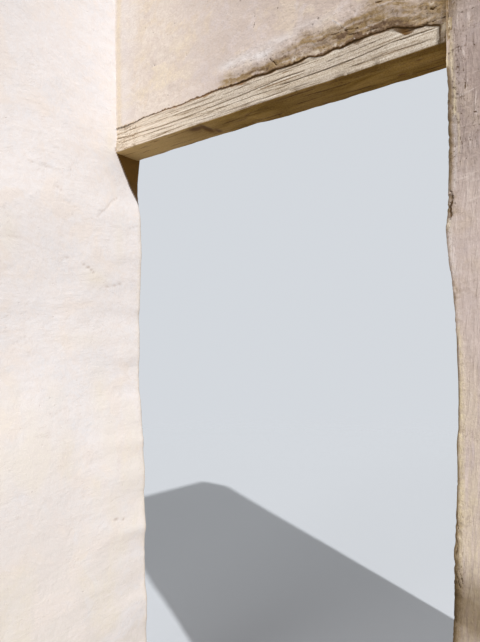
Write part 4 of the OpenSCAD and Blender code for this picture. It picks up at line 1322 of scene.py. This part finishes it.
# Section of the header at each X, round from the rear's foot: rear, top, front, lip edge, and back
# along the timber's face and top
def buildHeader():
    look = header
    ends = jambX + look["into"]
    columns = stops(-ends, ends, lambda x: mix(look["columnCoarse"], look["columnFine"], (x + jambX) / 1.2)
                    * mix(0.3, 1, ease((x + jambX - 0.004) / 0.03)))
    x = columns[:, None]
    alongFoot = np.stack([x, 0 * x, 0 * x], -1)
    calm = mix(1, 0.5, ease((x - 0.44) / 0.05))
    foot = lipFootZ(x) + calm * (0.0014 * noise(alongFoot, 0.019, 3) + 0.0018 * noise(alongFoot, 0.0053, 5))
    top = headerTop + 0 * x
    frontShare = stops(0, 1, lambda s: mix(look["rowFine"], look["rowCoarse"], ease((s - 0.2) / 0.4)) / 0.7
                       * mix(0.3, 1, ease((s - 0.002) / 0.006)))[::-1]
    zFront = foot + (top - foot) * frontShare
    h = zFront - foot
    rearShare = np.linspace(0, 1, 34)
    zRear = beamTopZ(x) + (top - beamTopZ(x)) * rearShare
    xFront = x + 0 * zFront
    # Fillet into the left wall, a quarter circle that closes above the lip, and a ramp up to the pier's face
    radius = look["filletRadius"]
    reach = np.clip(xFront + jambX, 0, radius)
    fillet = (radius - np.sqrt(radius ** 2 - (radius - reach) ** 2)) * ease(h / 0.02)
    ramp = (gate["pierStep"] - settledAt(zFront)) * ease((xFront - 0.55) / 0.056) * ease((h + 0.004) / 0.012)
    yFront = -headerY - lipThickness(xFront, h) - fillet - ramp
    yFront = yFront - headerWave(xFront, zFront, 70) * ease((h - 0.18) / fadeAlong)
    yRear = headerY + headerWave(x, zRear, 250) * ease((zRear - beamTopZ(x)) / fadeAlong) - 0.001
    front = np.stack([xFront, yFront, zFront], -1)
    relief = trowelled(front, 101) + 0.0004 * roughNoise(front, (0.035, 0.035, 0.018), 3, 103)
    bellyHere = smoothLine(xFront, look["belly"]) / 0.0115
    lumps = roughNoise(front, (0.055, 0.3, 0.045), 3, 115)
    relief = relief + bellyHere * bell(h - 0.065, 0.035) * 0.0022 * lumps
    crumbly = roughNoise(front, (0.014, 0.3, 0.009), 3, 119)
    relief = relief + 0.0011 * crumbly * bellyHere * bell(h - 0.01, 0.04)
    relief = relief + bellyHere * bell(h - 0.035, 0.05) * (
        0.0012 * roughNoise(front, (0.05, 0.05, 0.018), 3, 107) + 0.0007 * roughNoise(front, 0.009, 2, 109))
    rightEnd = ease((xFront - 0.44) / 0.12) * ease((0.16 - h) / 0.08)
    relief = relief + rightEnd * 0.0016 * roughNoise(front, (0.018, 0.018, 0.010), 3, 113)
    marked, fissure = drawMarks(xFront, zFront, look["marks"], 0.6)
    front[..., 1] -= relief + marked
    rear = np.stack([x + 0 * zRear, yRear, zRear], -1)
    rear[..., 1] = np.minimum(rear[..., 1] + trowelled(rear, 121), headerY)
    inside = -headerY + 0.006

    # Row of points along the header at one depth and height
    def rowAt(y, z):
        return np.stack([x, y + 0 * x, z], -1)

    topRows = [rowAt(mix(headerY, -headerY, share), top) for share in (0.25, 0.5, 0.75)]
    underRows = [rowAt(mix(front[:, -1:, 1], -headerY, 0.5), foot + 0.0012),
                 rowAt(-headerY + 0.001, foot + 0.003),
                 rowAt(inside, foot + 0.004),
                 rowAt(inside, beamTopZ(x) - 0.004),
                 rowAt(headerY - 0.01, beamTopZ(x) - 0.004)]
    rings = np.concatenate([rear, *topRows, front, *underRows], 1)
    before, after = rear.shape[1] + len(topRows), len(underRows)

    # Mask on the front, with nothing on the rest of the section
    def onFront(values):
        return np.pad(values, ((0, 0), (before, after)))

    smeared = roughNoise(np.stack([xFront, 0 * h, h], -1), (0.07, 1, 0.0065), 3, 129)
    crumbs = patchMask(xFront, h, look["crumbs"]) * ease((crumbly + 0.25) / 0.35)
    bare = 1 - 0.85 * np.clip(crumbs, 0, 1)
    toRight = ease((xFront + 0.12) / 0.08)
    atCorner = ease((xFront - 0.53) / 0.05)
    # Dark band along the lip's edge, a gap and painted shade under the lip, broken where the lip is flaky and
    # faint at the far left
    shadedEdge = smoothLine(xFront, look["shadedEdge"])
    flaky = ease((noise(front, (0.009, 9, 9), 117) + mix(0.5, 1.2, toRight)) / 0.7)
    edgeGapAndShade = bell(h, mix(0.0008, 0.0024, shadedEdge)) * mix(0.8, 1.0, toRight) * mix(0.2, 1, flaky)
    edgeGapAndShade = onFront(edgeGapAndShade * mix(1, 0.35, ease((-0.47 - xFront) / 0.05)))
    # The lip's underside painted dark: painted shade
    edgeGapAndShade[:, -after:3 - after] = 0.95
    stainAndShade = patchMask(xFront, h, look["stainsAndShade"])
    stainAndShade = stainAndShade * np.clip(0.9 + 0.8 * smeared * ease((0.1 - h) / 0.04), 0.2, 1.5)
    stainAndShade = np.maximum(stainAndShade, 0.35 * rightEnd) + 0.25 * atCorner * ease((h - 0.014) / 0.02)
    # Painted shade: a brown band under the belly, within 6 cm of the lip's edge
    stainAndShade = stainAndShade + 0.30 * ease((0.060 - h) / 0.02) * ease((xFront - 0.02) / 0.12)
    sootAndShade = patchMask(xFront, h, look["smears"]) * np.clip(0.95 + 0.9 * smeared, 0.15, 1.4)
    # Painted shade: a dark band along the lip's edge
    sootAndShade = sootAndShade + bell(h, mix(0.0014, 0.0058, shadedEdge)) * mix(0.3, 0.95, shadedEdge)
    sootAndShade = sootAndShade + 0.25 * atCorner * ease((h - 0.02) / 0.03) * ease((0.2 - h) / 0.1)
    # The left end is pale but for a cream band beside the wall, and flecks lie along the lip's left half
    fromJamb = xFront + jambX - 0.026
    paleEnd = 0.55 * ease((-0.42 - xFront) / 0.17) * (h > 0.004) * (1 - 0.9 * bell(fromJamb, 0.018))
    flecks = 0.8 * bell(h - 0.008, 0.004) * ease((crumbly - 0.25) / 0.4) * bell(xFront - 0.24, 0.16)
    pale = [patchMask(xFront, h, look["pale"]), lineMask(xFront, zFront, look["paleLines"]), paleEnd, flecks]
    pale = onFront(np.max(pale, axis=0))
    pale[:, :before] = look["rearPale"]
    cloudy = ease((roughNoise(front, (0.09, 0.3, 0.05), 3, 127) - 0.1) / 0.5)
    cream = 0.85 * bell(fromJamb, 0.014) * (h > 0) + 1.3 * crumbs + 0.28 * ease((-0.12 - xFront) / 0.2)
    cream = cream + 0.5 * cloudy * ease((-0.1 - xFront) / 0.2) * ease((0.3 - h) / 0.15)
    worn = bell(h, mix(0.006, 0.010, toRight)) * mix(0.55, 0.9, toRight) * ease((crumbly + 0.6) / 0.8) * bare
    rough = 0.9 * bellyHere * bell(h - 0.02, 0.05) + rightEnd + 0.32 * ease((xFront + 0.25) / 0.4)
    masks = {
        "crack": edgeGapAndShade,
        "fissure": onFront(fissure),
        "stainAndShade": onFront(np.clip(stainAndShade, 0, 1) * bare),
        "sootAndShade": onFront(np.clip(sootAndShade, 0, 1.5) * bare),
        "pale": pale,
        # Painted shade: the fillet into the left wall is toned darker where the light falls square on it
        "tone": onFront(0.3 * smoothLine(zFront, leftWall["tone"]) + 0.5 * ease(fillet / 0.003)),
        "worn": onFront(worn),
        "cream": onFront(cream),
        "dull": onFront(smoothLine(xFront, look["dull"])),
        "rough": onFront(rough),
    }
    return ringPiece("header_plaster", rings, masks, creamPlaster,
                     ["header_wall", "plaster_lip"])


buildHeader()


headerCrown = {"rise": 0.0495, "into": 0.002, "stations": 160, "rows": 46, "settling": 0.004, "waver": 0.0015}


# Half-round crown along the header: a circle's segment carried along X, settled by noise
def buildHeaderCrown():
    look = headerCrown
    rise = look["rise"]
    radius = (headerY ** 2 + rise ** 2) / (2 * rise)
    reach = math.asin(headerY / radius)
    x = np.linspace(-jambX - look["into"], jambX + look["into"], look["stations"])[:, None]
    a = np.linspace(reach, -reach, look["rows"])[None, :]
    y = radius * np.sin(a) + 0 * x
    z = headerTop + rise - radius + radius * np.cos(a) + 0 * x
    points = np.stack([x + 0 * y, y, z], -1)
    lift = (z - headerTop) / rise
    points[..., 2] -= look["settling"] * lift * (0.5 + 0.5 * np.clip(roughNoise(points, 0.2, 3, 131), -1, 1))
    points[..., 1] += look["waver"] * roughNoise(points, 0.15, 3, 133) * lift
    # Flat rows underneath, just inside the header's top
    across = np.linspace(-headerY + 0.004, headerY - 0.004, 6)[None, :]
    flat = np.stack([x + 0 * across, across + 0 * x, headerTop - 0.002 + 0 * x * across], -1)
    rings = np.concatenate([flat, points], 1)
    patches = roughNoise(rings, 0.14, 4, 137)
    masks = {"stainAndShade": 0.35 * ease((patches + 0.1) / 0.6), "cream": 0.3 * ease((patches - 0.1) / 0.5)}
    return ringPiece("header_crown_plaster", rings, masks, creamPlaster, ["header_crown"])


buildHeaderCrown()

lintel = {
    # Radius of its arrises, and the steps of its grid along it and up its front
    "radius": 0.005,
    "columnFine": 0.0028,
    "columnCoarse": 0.0048,
    "rowStep": 0.0013,
    # X of the face's cut right end
    "cutEnd": 0.5908,
    # Long shakes: line in (X, height above the underside), half width, depth, darkness
    "shakes": [
        ([(-0.62, 0.052), (-0.52, 0.047), (-0.45, 0.045), (-0.374, 0.041), (-0.271, 0.040), (-0.128, 0.043),
          (0.021, 0.047), (0.10, 0.050), (0.177, 0.0525), (0.24, 0.050)], 0.0013, 0.006, 0.75),
        ([(-0.09, 0.066), (0.0, 0.069), (0.1, 0.071), (0.2, 0.0715), (0.26, 0.072)], 0.0008, 0.003, 0.45),
        ([(0.13, 0.035), (0.2, 0.034), (0.306, 0.035), (0.403, 0.0375), (0.496, 0.041), (0.592, 0.0375)],
         0.0012, 0.007, 0.95),
        ([(0.27, 0.052), (0.34, 0.055), (0.42, 0.058), (0.47, 0.060)], 0.0008, 0.003, 0.6),
        ([(0.49, 0.0545), (0.54, 0.0535), (0.592, 0.0500)], 0.0010, 0.004, 0.8),
        ([(-0.60, 0.031), (-0.50, 0.033), (-0.38, 0.029), (-0.25, 0.026), (-0.1, 0.029), (0.05, 0.031),
          (0.14, 0.029)], 0.0009, 0.003, 0.55),
        ([(-0.40, 0.012), (-0.25, 0.014), (-0.1, 0.013), (0.05, 0.015), (0.2, 0.013), (0.3, 0.012)],
         0.0008, 0.002, 0.4),
        ([(0.34, 0.019), (0.42, 0.020), (0.5, 0.019), (0.592, 0.0165)], 0.0009, 0.003, 0.6),
        ([(-0.56, 0.069), (-0.45, 0.066), (-0.33, 0.062), (-0.2, 0.060), (-0.1, 0.0575), (0.0, 0.058)],
         0.0008, 0.003, 0.5),
        ([(-0.35, 0.076), (-0.2, 0.074), (-0.05, 0.076), (0.05, 0.077)], 0.0007, 0.002, 0.35),
        ([(-0.61, 0.020), (-0.575, 0.026), (-0.555, 0.018), (-0.53, 0.022)], 0.0010, 0.003, 0.6),
        ([(-0.61, 0.040), (-0.58, 0.036), (-0.56, 0.044), (-0.53, 0.042)], 0.0010, 0.003, 0.5),
        ([(-0.60, 0.066), (-0.565, 0.060), (-0.54, 0.068), (-0.51, 0.066)], 0.0009, 0.003, 0.5),
        ([(-0.595, 0.078), (-0.56, 0.074), (-0.53, 0.079), (-0.50, 0.076)], 0.0009, 0.003, 0.5),
        ([(-0.605, 0.010), (-0.58, 0.014), (-0.55, 0.009)], 0.0009, 0.003, 0.5),
    ],
    # Brown below the lip, a stain and partly the lip's painted shadow: X, half length, how far down, strength
    "ochre": [(0.0, 0.07, 0.0058, 0.9), (0.11, 0.05, 0.0050, 0.8), (0.20, 0.05, 0.0040, 0.6),
              (0.30, 0.04, 0.0042, 0.6), (-0.3, 0.12, 0.0042, 0.75), (-0.15, 0.07, 0.0050, 0.8),
              (0.44, 0.05, 0.0040, 0.6)],
    # Dark brown below the lip, a stain and partly the lip's painted shadow: X, half length, how far down,
    # strength
    "brown": [(0.383, 0.020, 0.0085, 0.6), (0.506, 0.030, 0.0135, 1.0), (0.47, 0.02, 0.006, 0.7),
              (0.25, 0.02, 0.004, 0.5)],
    # Chips out of the lower front arris: X, half length, depth
    "chips": [(0.335, 0.016, 0.0042), (0.352, 0.007, 0.003), (0.435, 0.008, 0.0035), (-0.50, 0.012, 0.0025),
              (-0.21, 0.010, 0.0018), (0.07, 0.012, 0.0018), (0.20, 0.012, 0.0016)],
    # Dark marks on the underside: middle in (X, Y), half sizes, strength, depth
    "notches": [((-0.205, -0.035), (0.030, 0.016), 0.95, 0.002),
                ((-0.175, -0.015), (0.011, 0.032), 1.3, 0.004),
                ((-0.155, 0.02), (0.012, 0.02), 0.8, 0.002), ((0.085, 0.03), (0.006, 0.005), 1.0, 0.005),
                ((0.47, 0.02), (0.010, 0.004), 0.8, 0.002), ((0.53, -0.02), (0.008, 0.003), 0.7, 0.002),
                ((0.24, 0.045), (0.012, 0.006), 0.6, 0.002), ((-0.05, 0.0), (0.02, 0.004), 0.5, 0.001),
                ((-0.02, 0.048), (0.02, 0.004), 0.6, 0.002), ((-0.3, 0.045), (0.03, 0.004), 0.4, 0.001),
                ((0.602, -0.03), (0.009, 0.02), 0.55, 0.0), ((0.594, 0.01), (0.009, 0.015), 0.4, 0.0)],
}


# Timber: a rounded section carried along the beam, its front cut by shakes that run along bent lines, each
# a narrow wedge, and its faces uneven along the grain
def buildLintel():
    look = lintel
    height = gate["beamHeight"]
    depth = gate["headerThickness"] - gate["beamSet"]
    r = look["radius"]
    width = gate["openingWidth"]
    along = stops(-gate["bearing"], width + gate["bearing"],
                  lambda s: mix(look["columnCoarse"], look["columnFine"], ease(s / width))
                  * mix(1, 0.3, bell(s - width + 0.017, 0.005)))
    quarter = lambda cy, cz, a0: [(cy + r * math.cos(a), cz + r * math.sin(a))
                                  for a in np.radians(np.linspace(a0, a0 + 90, 6))]
    section = quarter(r, r, 180)
    section += [(y, 0) for y in np.linspace(r, depth - r, 34)[1:-1]]
    section += quarter(depth - r, r, 270)
    section += [(depth, z) for z in np.linspace(r, height - r, 22)[1:-1]]
    section += quarter(depth - r, height - r, 0)
    section += [(y, height) for y in np.linspace(depth - r, r, 10)[1:-1]]
    section += quarter(r, height - r, 90)
    section += [(0, z) for z in np.arange(height - r, r, -look["rowStep"])[1:]]
    y, z = np.array(section).T
    s = along[:, None] + 0 * y
    y, z = y + 0 * s, z + 0 * s
    # X in the frame, near enough along the slightly tilted timber
    x = s - jambX
    local = np.stack([s, y, z], -1)
    onFront = ease(1 - y / 0.006)
    onUnder = ease(1 - z / 0.006)
    onBack = ease(1 - (depth - y) / 0.006)
    grainy = roughNoise(local, (0.22, 0.03, 0.0045), 2, 151)
    wavy = roughNoise(local, (0.30, 0.06, 0.05), 3, 153)
    inY = onFront * (0.0005 * (grainy + 1) + 0.0009 * (wavy + 1)) - onBack * (0.0012 * (wavy + 1))
    under = roughNoise(local, (0.20, 0.012, 0.05), 2, 157)
    inZ = onUnder * (0.0005 * (under + 1) + 0.0006 * (wavy + 1))
    # The timber is slightly twisted: its underside hangs lower to the right, most of all at the rear
    hang = mix(0.0030 * ease((x - 0.2) / 0.15), 0.0062 * ease((x + 0.05) / 0.2), y / depth)
    inZ = inZ - onUnder * hang - (1 - onUnder) * hang * ease(1 - z / 0.05)
    dark = np.zeros(s.shape)
    for line, half, deep, strength in look["shakes"]:
        level = smoothLine(x, line) + 0.0007 * noise(local, (0.035, 9, 9), 161)
        wedge = np.maximum(0, 1 - np.abs(z - level) / half) ** 0.8
        ends = ease((x - line[0][0]) / 0.04) * ease((line[-1][0] - x) / 0.04)
        broken = ease((noise(local, (0.09, 9, 9), 163) + 1.1) / 0.5)
        inY = inY + deep * wedge * ends * broken * onFront
        dark = np.maximum(dark, strength * np.maximum(0, 1 - np.abs(z - level) / (1.25 * half)) ** 0.6
                          * ends * broken * onFront)
    lowArris = bell(np.hypot(y, z), 0.011)
    chipMask = np.zeros(s.shape)
    splintered = 1 + roughNoise(local, (0.018, 0.02, 0.008), 3, 183)
    inY = inY + 0.0012 * ease((-0.47 - x) / 0.1) * onFront * splintered
    jagged = lowArris * ease((roughNoise(local, (0.012, 0.01, 0.01), 2, 167) + 0.9) / 0.7)
    for cx, half, deep in look["chips"]:
        chip = bell(x - cx, half) * jagged
        inY = inY + deep * chip
        inZ = inZ + deep * chip
        chipMask = np.maximum(chipMask, chip)
    inY = inY + 0.0006 * (roughNoise(local, (0.03, 0.02, 0.02), 2, 171) + 1) * lowArris
    notched = np.zeros(s.shape)
    frameY = y - headerY
    for (cx, cy), (sx, sy), strength, deep in look["notches"]:
        spot = np.exp(-((x - cx) / sx) ** 2 - ((frameY - cy) / sy) ** 2) * onUnder
        inZ = inZ + deep * spot
        notched = np.maximum(notched, strength * spot)
    backEdge = bell(np.hypot(y - depth, z), 0.012)
    inZ = inZ + 0.0010 * (roughNoise(local, (0.05, 0.05, 0.05), 3, 173) + 0.6) * backEdge
    y, z = y + inY, z + inZ
    place = np.stack([
        -jambX + s * math.cos(beamTilt) + z * math.sin(beamTilt),
        -headerY + y,
        gate["soffitHeight"] - s * math.sin(beamTilt) + z * math.cos(beamTilt),
    ], -1)
    underFront = onUnder * ease((0.02 - y) / 0.012) * ease((x + 0.1) / 0.3)
    below = np.maximum(smoothLine(x, header["lipBare"]) - z, 0)
    toRight = ease((x + 0.1) / 0.1)
    flaky = ease((noise(local, (0.011, 9, 9), 179) + mix(0.3, 1.1, toRight)) / 0.8)
    reach = mix(0.0012, 0.0024, toRight) * mix(0.3, 1.2, flaky)
    # Dark band just under the lip: the gap and the lip's painted shadow
    underLip = onFront * ease((reach - below) / 0.0018 + 0.5) * mix(0.6, 1.0, toRight)
    underLip = underLip * mix(1, 0.3, ease((-0.47 - x) / 0.05))
    uneven = 1 + 0.35 * noise(local, (0.013, 9, 9), 191)

    # Stains that run down from under the lip, each to its own depth and fading out sideways, partly the lip's
    # painted shadow
    def bleed(spots):
        return np.max([strength * ease((down * uneven * bell(x - cx, half) - below) / 0.0018 + 0.5)
                       * bell(x - cx, 1.4 * half) * onFront for cx, half, down, strength in spots], axis=0)

    cutEnd = onFront * bell(x - look["cutEnd"] - 0.0016 * noise(local, (9, 9, 0.008), 185), 0.0024)
    shakesDark = dark * mix(0.35, 1, ease((x + 0.30) / 0.40))
    crack = 0.45 * np.clip(notched, 0, 1) ** 2 + np.maximum(shakesDark, 0.75 * underLip)
    masks = {
        # Brown underside: the timber's own sheltered colour and painted shade
        "shelteredAndPaintedShade": np.max([ease(onUnder * 1.4 - 0.2), onBack * 0.6, 0.2 * chipMask], axis=0),
        "ochre": bleed(look["ochre"]),
        "stainAndShade": np.max([np.clip(1.4 * notched, 0, 0.95), 0.35 * underFront, underLip,
                         bleed(look["brown"])], axis=0),
        "crack": np.max([crack, 0.25 * chipMask, cutEnd], axis=0),
        "warmth": ease((-0.05 - x) / 0.5) + 0 * z,
        "dull": 0.5 + 0.5 * np.clip(roughNoise(local, (0.15, 0.05, 0.012), 3, 177), -1, 1),
        # Painted bounce light: the underside paler towards its left end, and a faint pale patch
        "paintedBounceLight": np.maximum(ease((0.02 - x) / 0.5), 0.2 * bell(x - 0.21, 0.09)) * onUnder,
        "curls": ease((-0.455 - x) / 0.05) * onFront,
    }
    return ringPiece("lintel_timber", place, masks, timber, ["lintel"])


buildLintel()


packing = {"width": 0.0165, "thickness": 0.0034, "into": 0.010, "below": 0.003, "above": 0.012}


# Lump of mortar: sections along X, each a half oval in front of the timber's face, thicker to the pier
def buildPacking():
    left, right = jambX - packing["width"], jambX + packing["into"]
    x = np.linspace(left, right, 40)[:, None]
    a = np.radians(np.linspace(-90, 90, 44))[None, :]
    thick = mix(0.0006, packing["thickness"], ease((x - left - 0.002) / 0.011))
    thick = thick * mix(1, 0.15, ease((x - jambX - 0.002) / 0.006))
    low = soffitZ(x) - packing["below"]
    high = lipFootZ(x) + packing["above"]
    z = (low + high) / 2 + (high - low) / 2 * np.sin(a)
    y = -headerY - thick * np.cos(a) ** 0.5 + 0 * z
    front = np.stack([x + 0 * z, y, z], -1)
    lumps = 0.0016 * roughNoise(front, 0.014, 3, 181) + 0.0008 * roughNoise(front, 0.006, 2, 189)
    front[..., 1] = np.minimum(front[..., 1] - lumps, -headerY - 0.001)
    back = np.stack([x + 0 * z[:, :6], -headerY + 0.01 + 0 * z[:, :6],
                     mix(high, low, np.linspace(0.1, 0.9, 6)[None, :])], -1)
    rings = np.concatenate([back, front], 1)[:, ::-1]
    ringX, ringZ = rings[..., 0], rings[..., 2]
    patches = roughNoise(rings, 0.02, 3, 187)
    # Dark gap along the timber's cut end, with a deeper hole near its top
    gap = 0.95 * bell(ringX - left - 0.0008 * noise(rings, (9, 9, 0.005), 193), 0.0019)
    hole = patchMask(ringX, ringZ, [((left + 0.001, 2.306), (0.0035, 0.006), 1.0)])
    masks = {
        "stainAndShade": 0.12 + 0.5 * patches + 0.8 * ease((2.298 - ringZ) / 0.010),
        "rough": 1 + 0 * patches,
        "cream": 0.75 + 0.9 * patches,
        "sootAndShade": 0.75 * ease((2.287 - ringZ) / 0.009) + 0.35 * patches,
        "crack": gap + hole,
        "worn": 0.3 + 0.9 * patches,
    }
    return ringPiece("lintel_packing_mortar", rings, masks, pinkPlaster, ["lintel_packing"])


buildPacking()


stage = {
    "floorRadius": 60.0,
    "floorSides": 96,
    "floorLevel": -0.0004,
    "floorSeen": (0.70, 0.73, 0.77),
    "floorLit": (0.34, 0.31, 0.28),
    "fadeFrom": 4.0,
    "fadeTo": 14.0,
    "backColour": (0.66, 0.69, 0.73),
    "worldLevel": 0.22,
    "keyLevel": 0.93,
    "keyFrom": (0.739, -0.370, 0.562),
    "keyAngle": 1.0,
    "fillLevel": 0.255,
    "fillFrom": (0.0, -0.95, 0.31),
    "fillAngle": 30.0,
    "backLevel": 0.25,
    "backFrom": (-0.45, 0.80, 0.40),
    "backAngle": 40.0,
}


# One where the floor or the backdrop is seen by the camera, in a gloss or through glass
def seenPlainly(tree):
    path = addNode(tree, "ShaderNodeLightPath").outputs
    seen = mathNode(tree, "MAXIMUM", path["Is Camera Ray"], path["Is Glossy Ray"])
    return mathNode(tree, "MAXIMUM", seen, path["Is Transmission Ray"])


# Large disc under the gateway, pale to the camera and darker to the object, fading into the backdrop
def buildFloor():
    sides, radius = stage["floorSides"], stage["floorRadius"]
    a = np.linspace(0, 2 * np.pi, sides, endpoint=False)
    points = np.stack([radius * np.cos(a), radius * np.sin(a), np.full(sides, stage["floorLevel"])], -1)
    mesh = bpy.data.meshes.new("floor")
    mesh.from_pydata(points.tolist(), [], [list(range(sides))])
    material, tree, shader, place = newMaterial("paleFloor", 0.9, 0.1)
    colour = mixColour(tree, seenPlainly(tree), (*stage["floorLit"], 1), (*stage["floorSeen"], 1))
    tree.links.new(colour, shader.inputs["Base Color"])
    reach = addNode(tree, "ShaderNodeVectorMath", {0: place}, operation="LENGTH").outputs["Value"]
    away = spreadRange(tree, reach, stage["fadeFrom"], stage["fadeTo"])
    clear = addNode(tree, "ShaderNodeBsdfTransparent")
    blend = addNode(tree, "ShaderNodeMixShader", {0: away, 1: shader.outputs[0], 2: clear.outputs[0]})
    tree.links.new(blend.outputs[0], tree.nodes["Material Output"].inputs["Surface"])
    mesh.materials.append(material)
    floor = bpy.data.objects.new("floor", mesh)
    bpy.context.scene.collection.objects.link(floor)
    floor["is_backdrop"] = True


# Sun lamp that shines from a direction; level is what a white surface square to it shows
def addSun(name, level, source, angle):
    data = bpy.data.lights.new(name, "SUN")
    data.energy = math.pi * level
    data.angle = math.radians(angle)
    lamp = bpy.data.objects.new(name, data)
    direction = -np.array(source) / np.linalg.norm(source)
    lamp.rotation_mode = "QUATERNION"
    lamp.rotation_quaternion = Vector(direction).to_track_quat("-Z", "Y")
    lamp.location = 4 * np.array(source)
    bpy.context.scene.collection.objects.link(lamp)


def buildLight():
    addSun("keyLight", stage["keyLevel"], stage["keyFrom"], stage["keyAngle"])
    addSun("fillLight", stage["fillLevel"], stage["fillFrom"], stage["fillAngle"])
    addSun("backLight", stage["backLevel"], stage["backFrom"], stage["backAngle"])
    world = bpy.data.worlds.new("studio")
    bpy.context.scene.world = world
    world.use_nodes = True
    tree = world.node_tree
    back = tree.nodes["Background"]
    level = stage["worldLevel"]
    colour = mixColour(tree, seenPlainly(tree), (level, level, level, 1), (*stage["backColour"], 1))
    tree.links.new(colour, back.inputs[0])
    back.inputs[1].default_value = 1.0


# The camera stands to the right of the opening, 1.2 m before the header, and looks left through it
cameraView = {
    "place": (0.9965, -1.2565, 1.55),
    "turn": 39.7,
    "sensorWidth": 36,
    "focalPixels": 520,
    "pictureHeight": 642,
    "horizonRow": 360,
}


def buildCamera():
    view = cameraView
    data = bpy.data.cameras.new("view")
    data.sensor_width = view["sensorWidth"]
    data.lens = view["sensorWidth"] * view["focalPixels"] / view["pictureHeight"]
    data.shift_y = (view["horizonRow"] - view["pictureHeight"] / 2) / view["pictureHeight"]
    data.clip_start = 0.02
    camera = bpy.data.objects.new("view", data)
    camera.location = view["place"]
    camera.rotation_euler = (math.radians(90), 0, math.radians(view["turn"]))
    bpy.context.scene.collection.objects.link(camera)
    bpy.context.scene.camera = camera


buildFloor()
buildLight()
buildCamera()
bpy.context.scene.view_settings.view_transform = "Standard"
print("stage, light and camera ready")
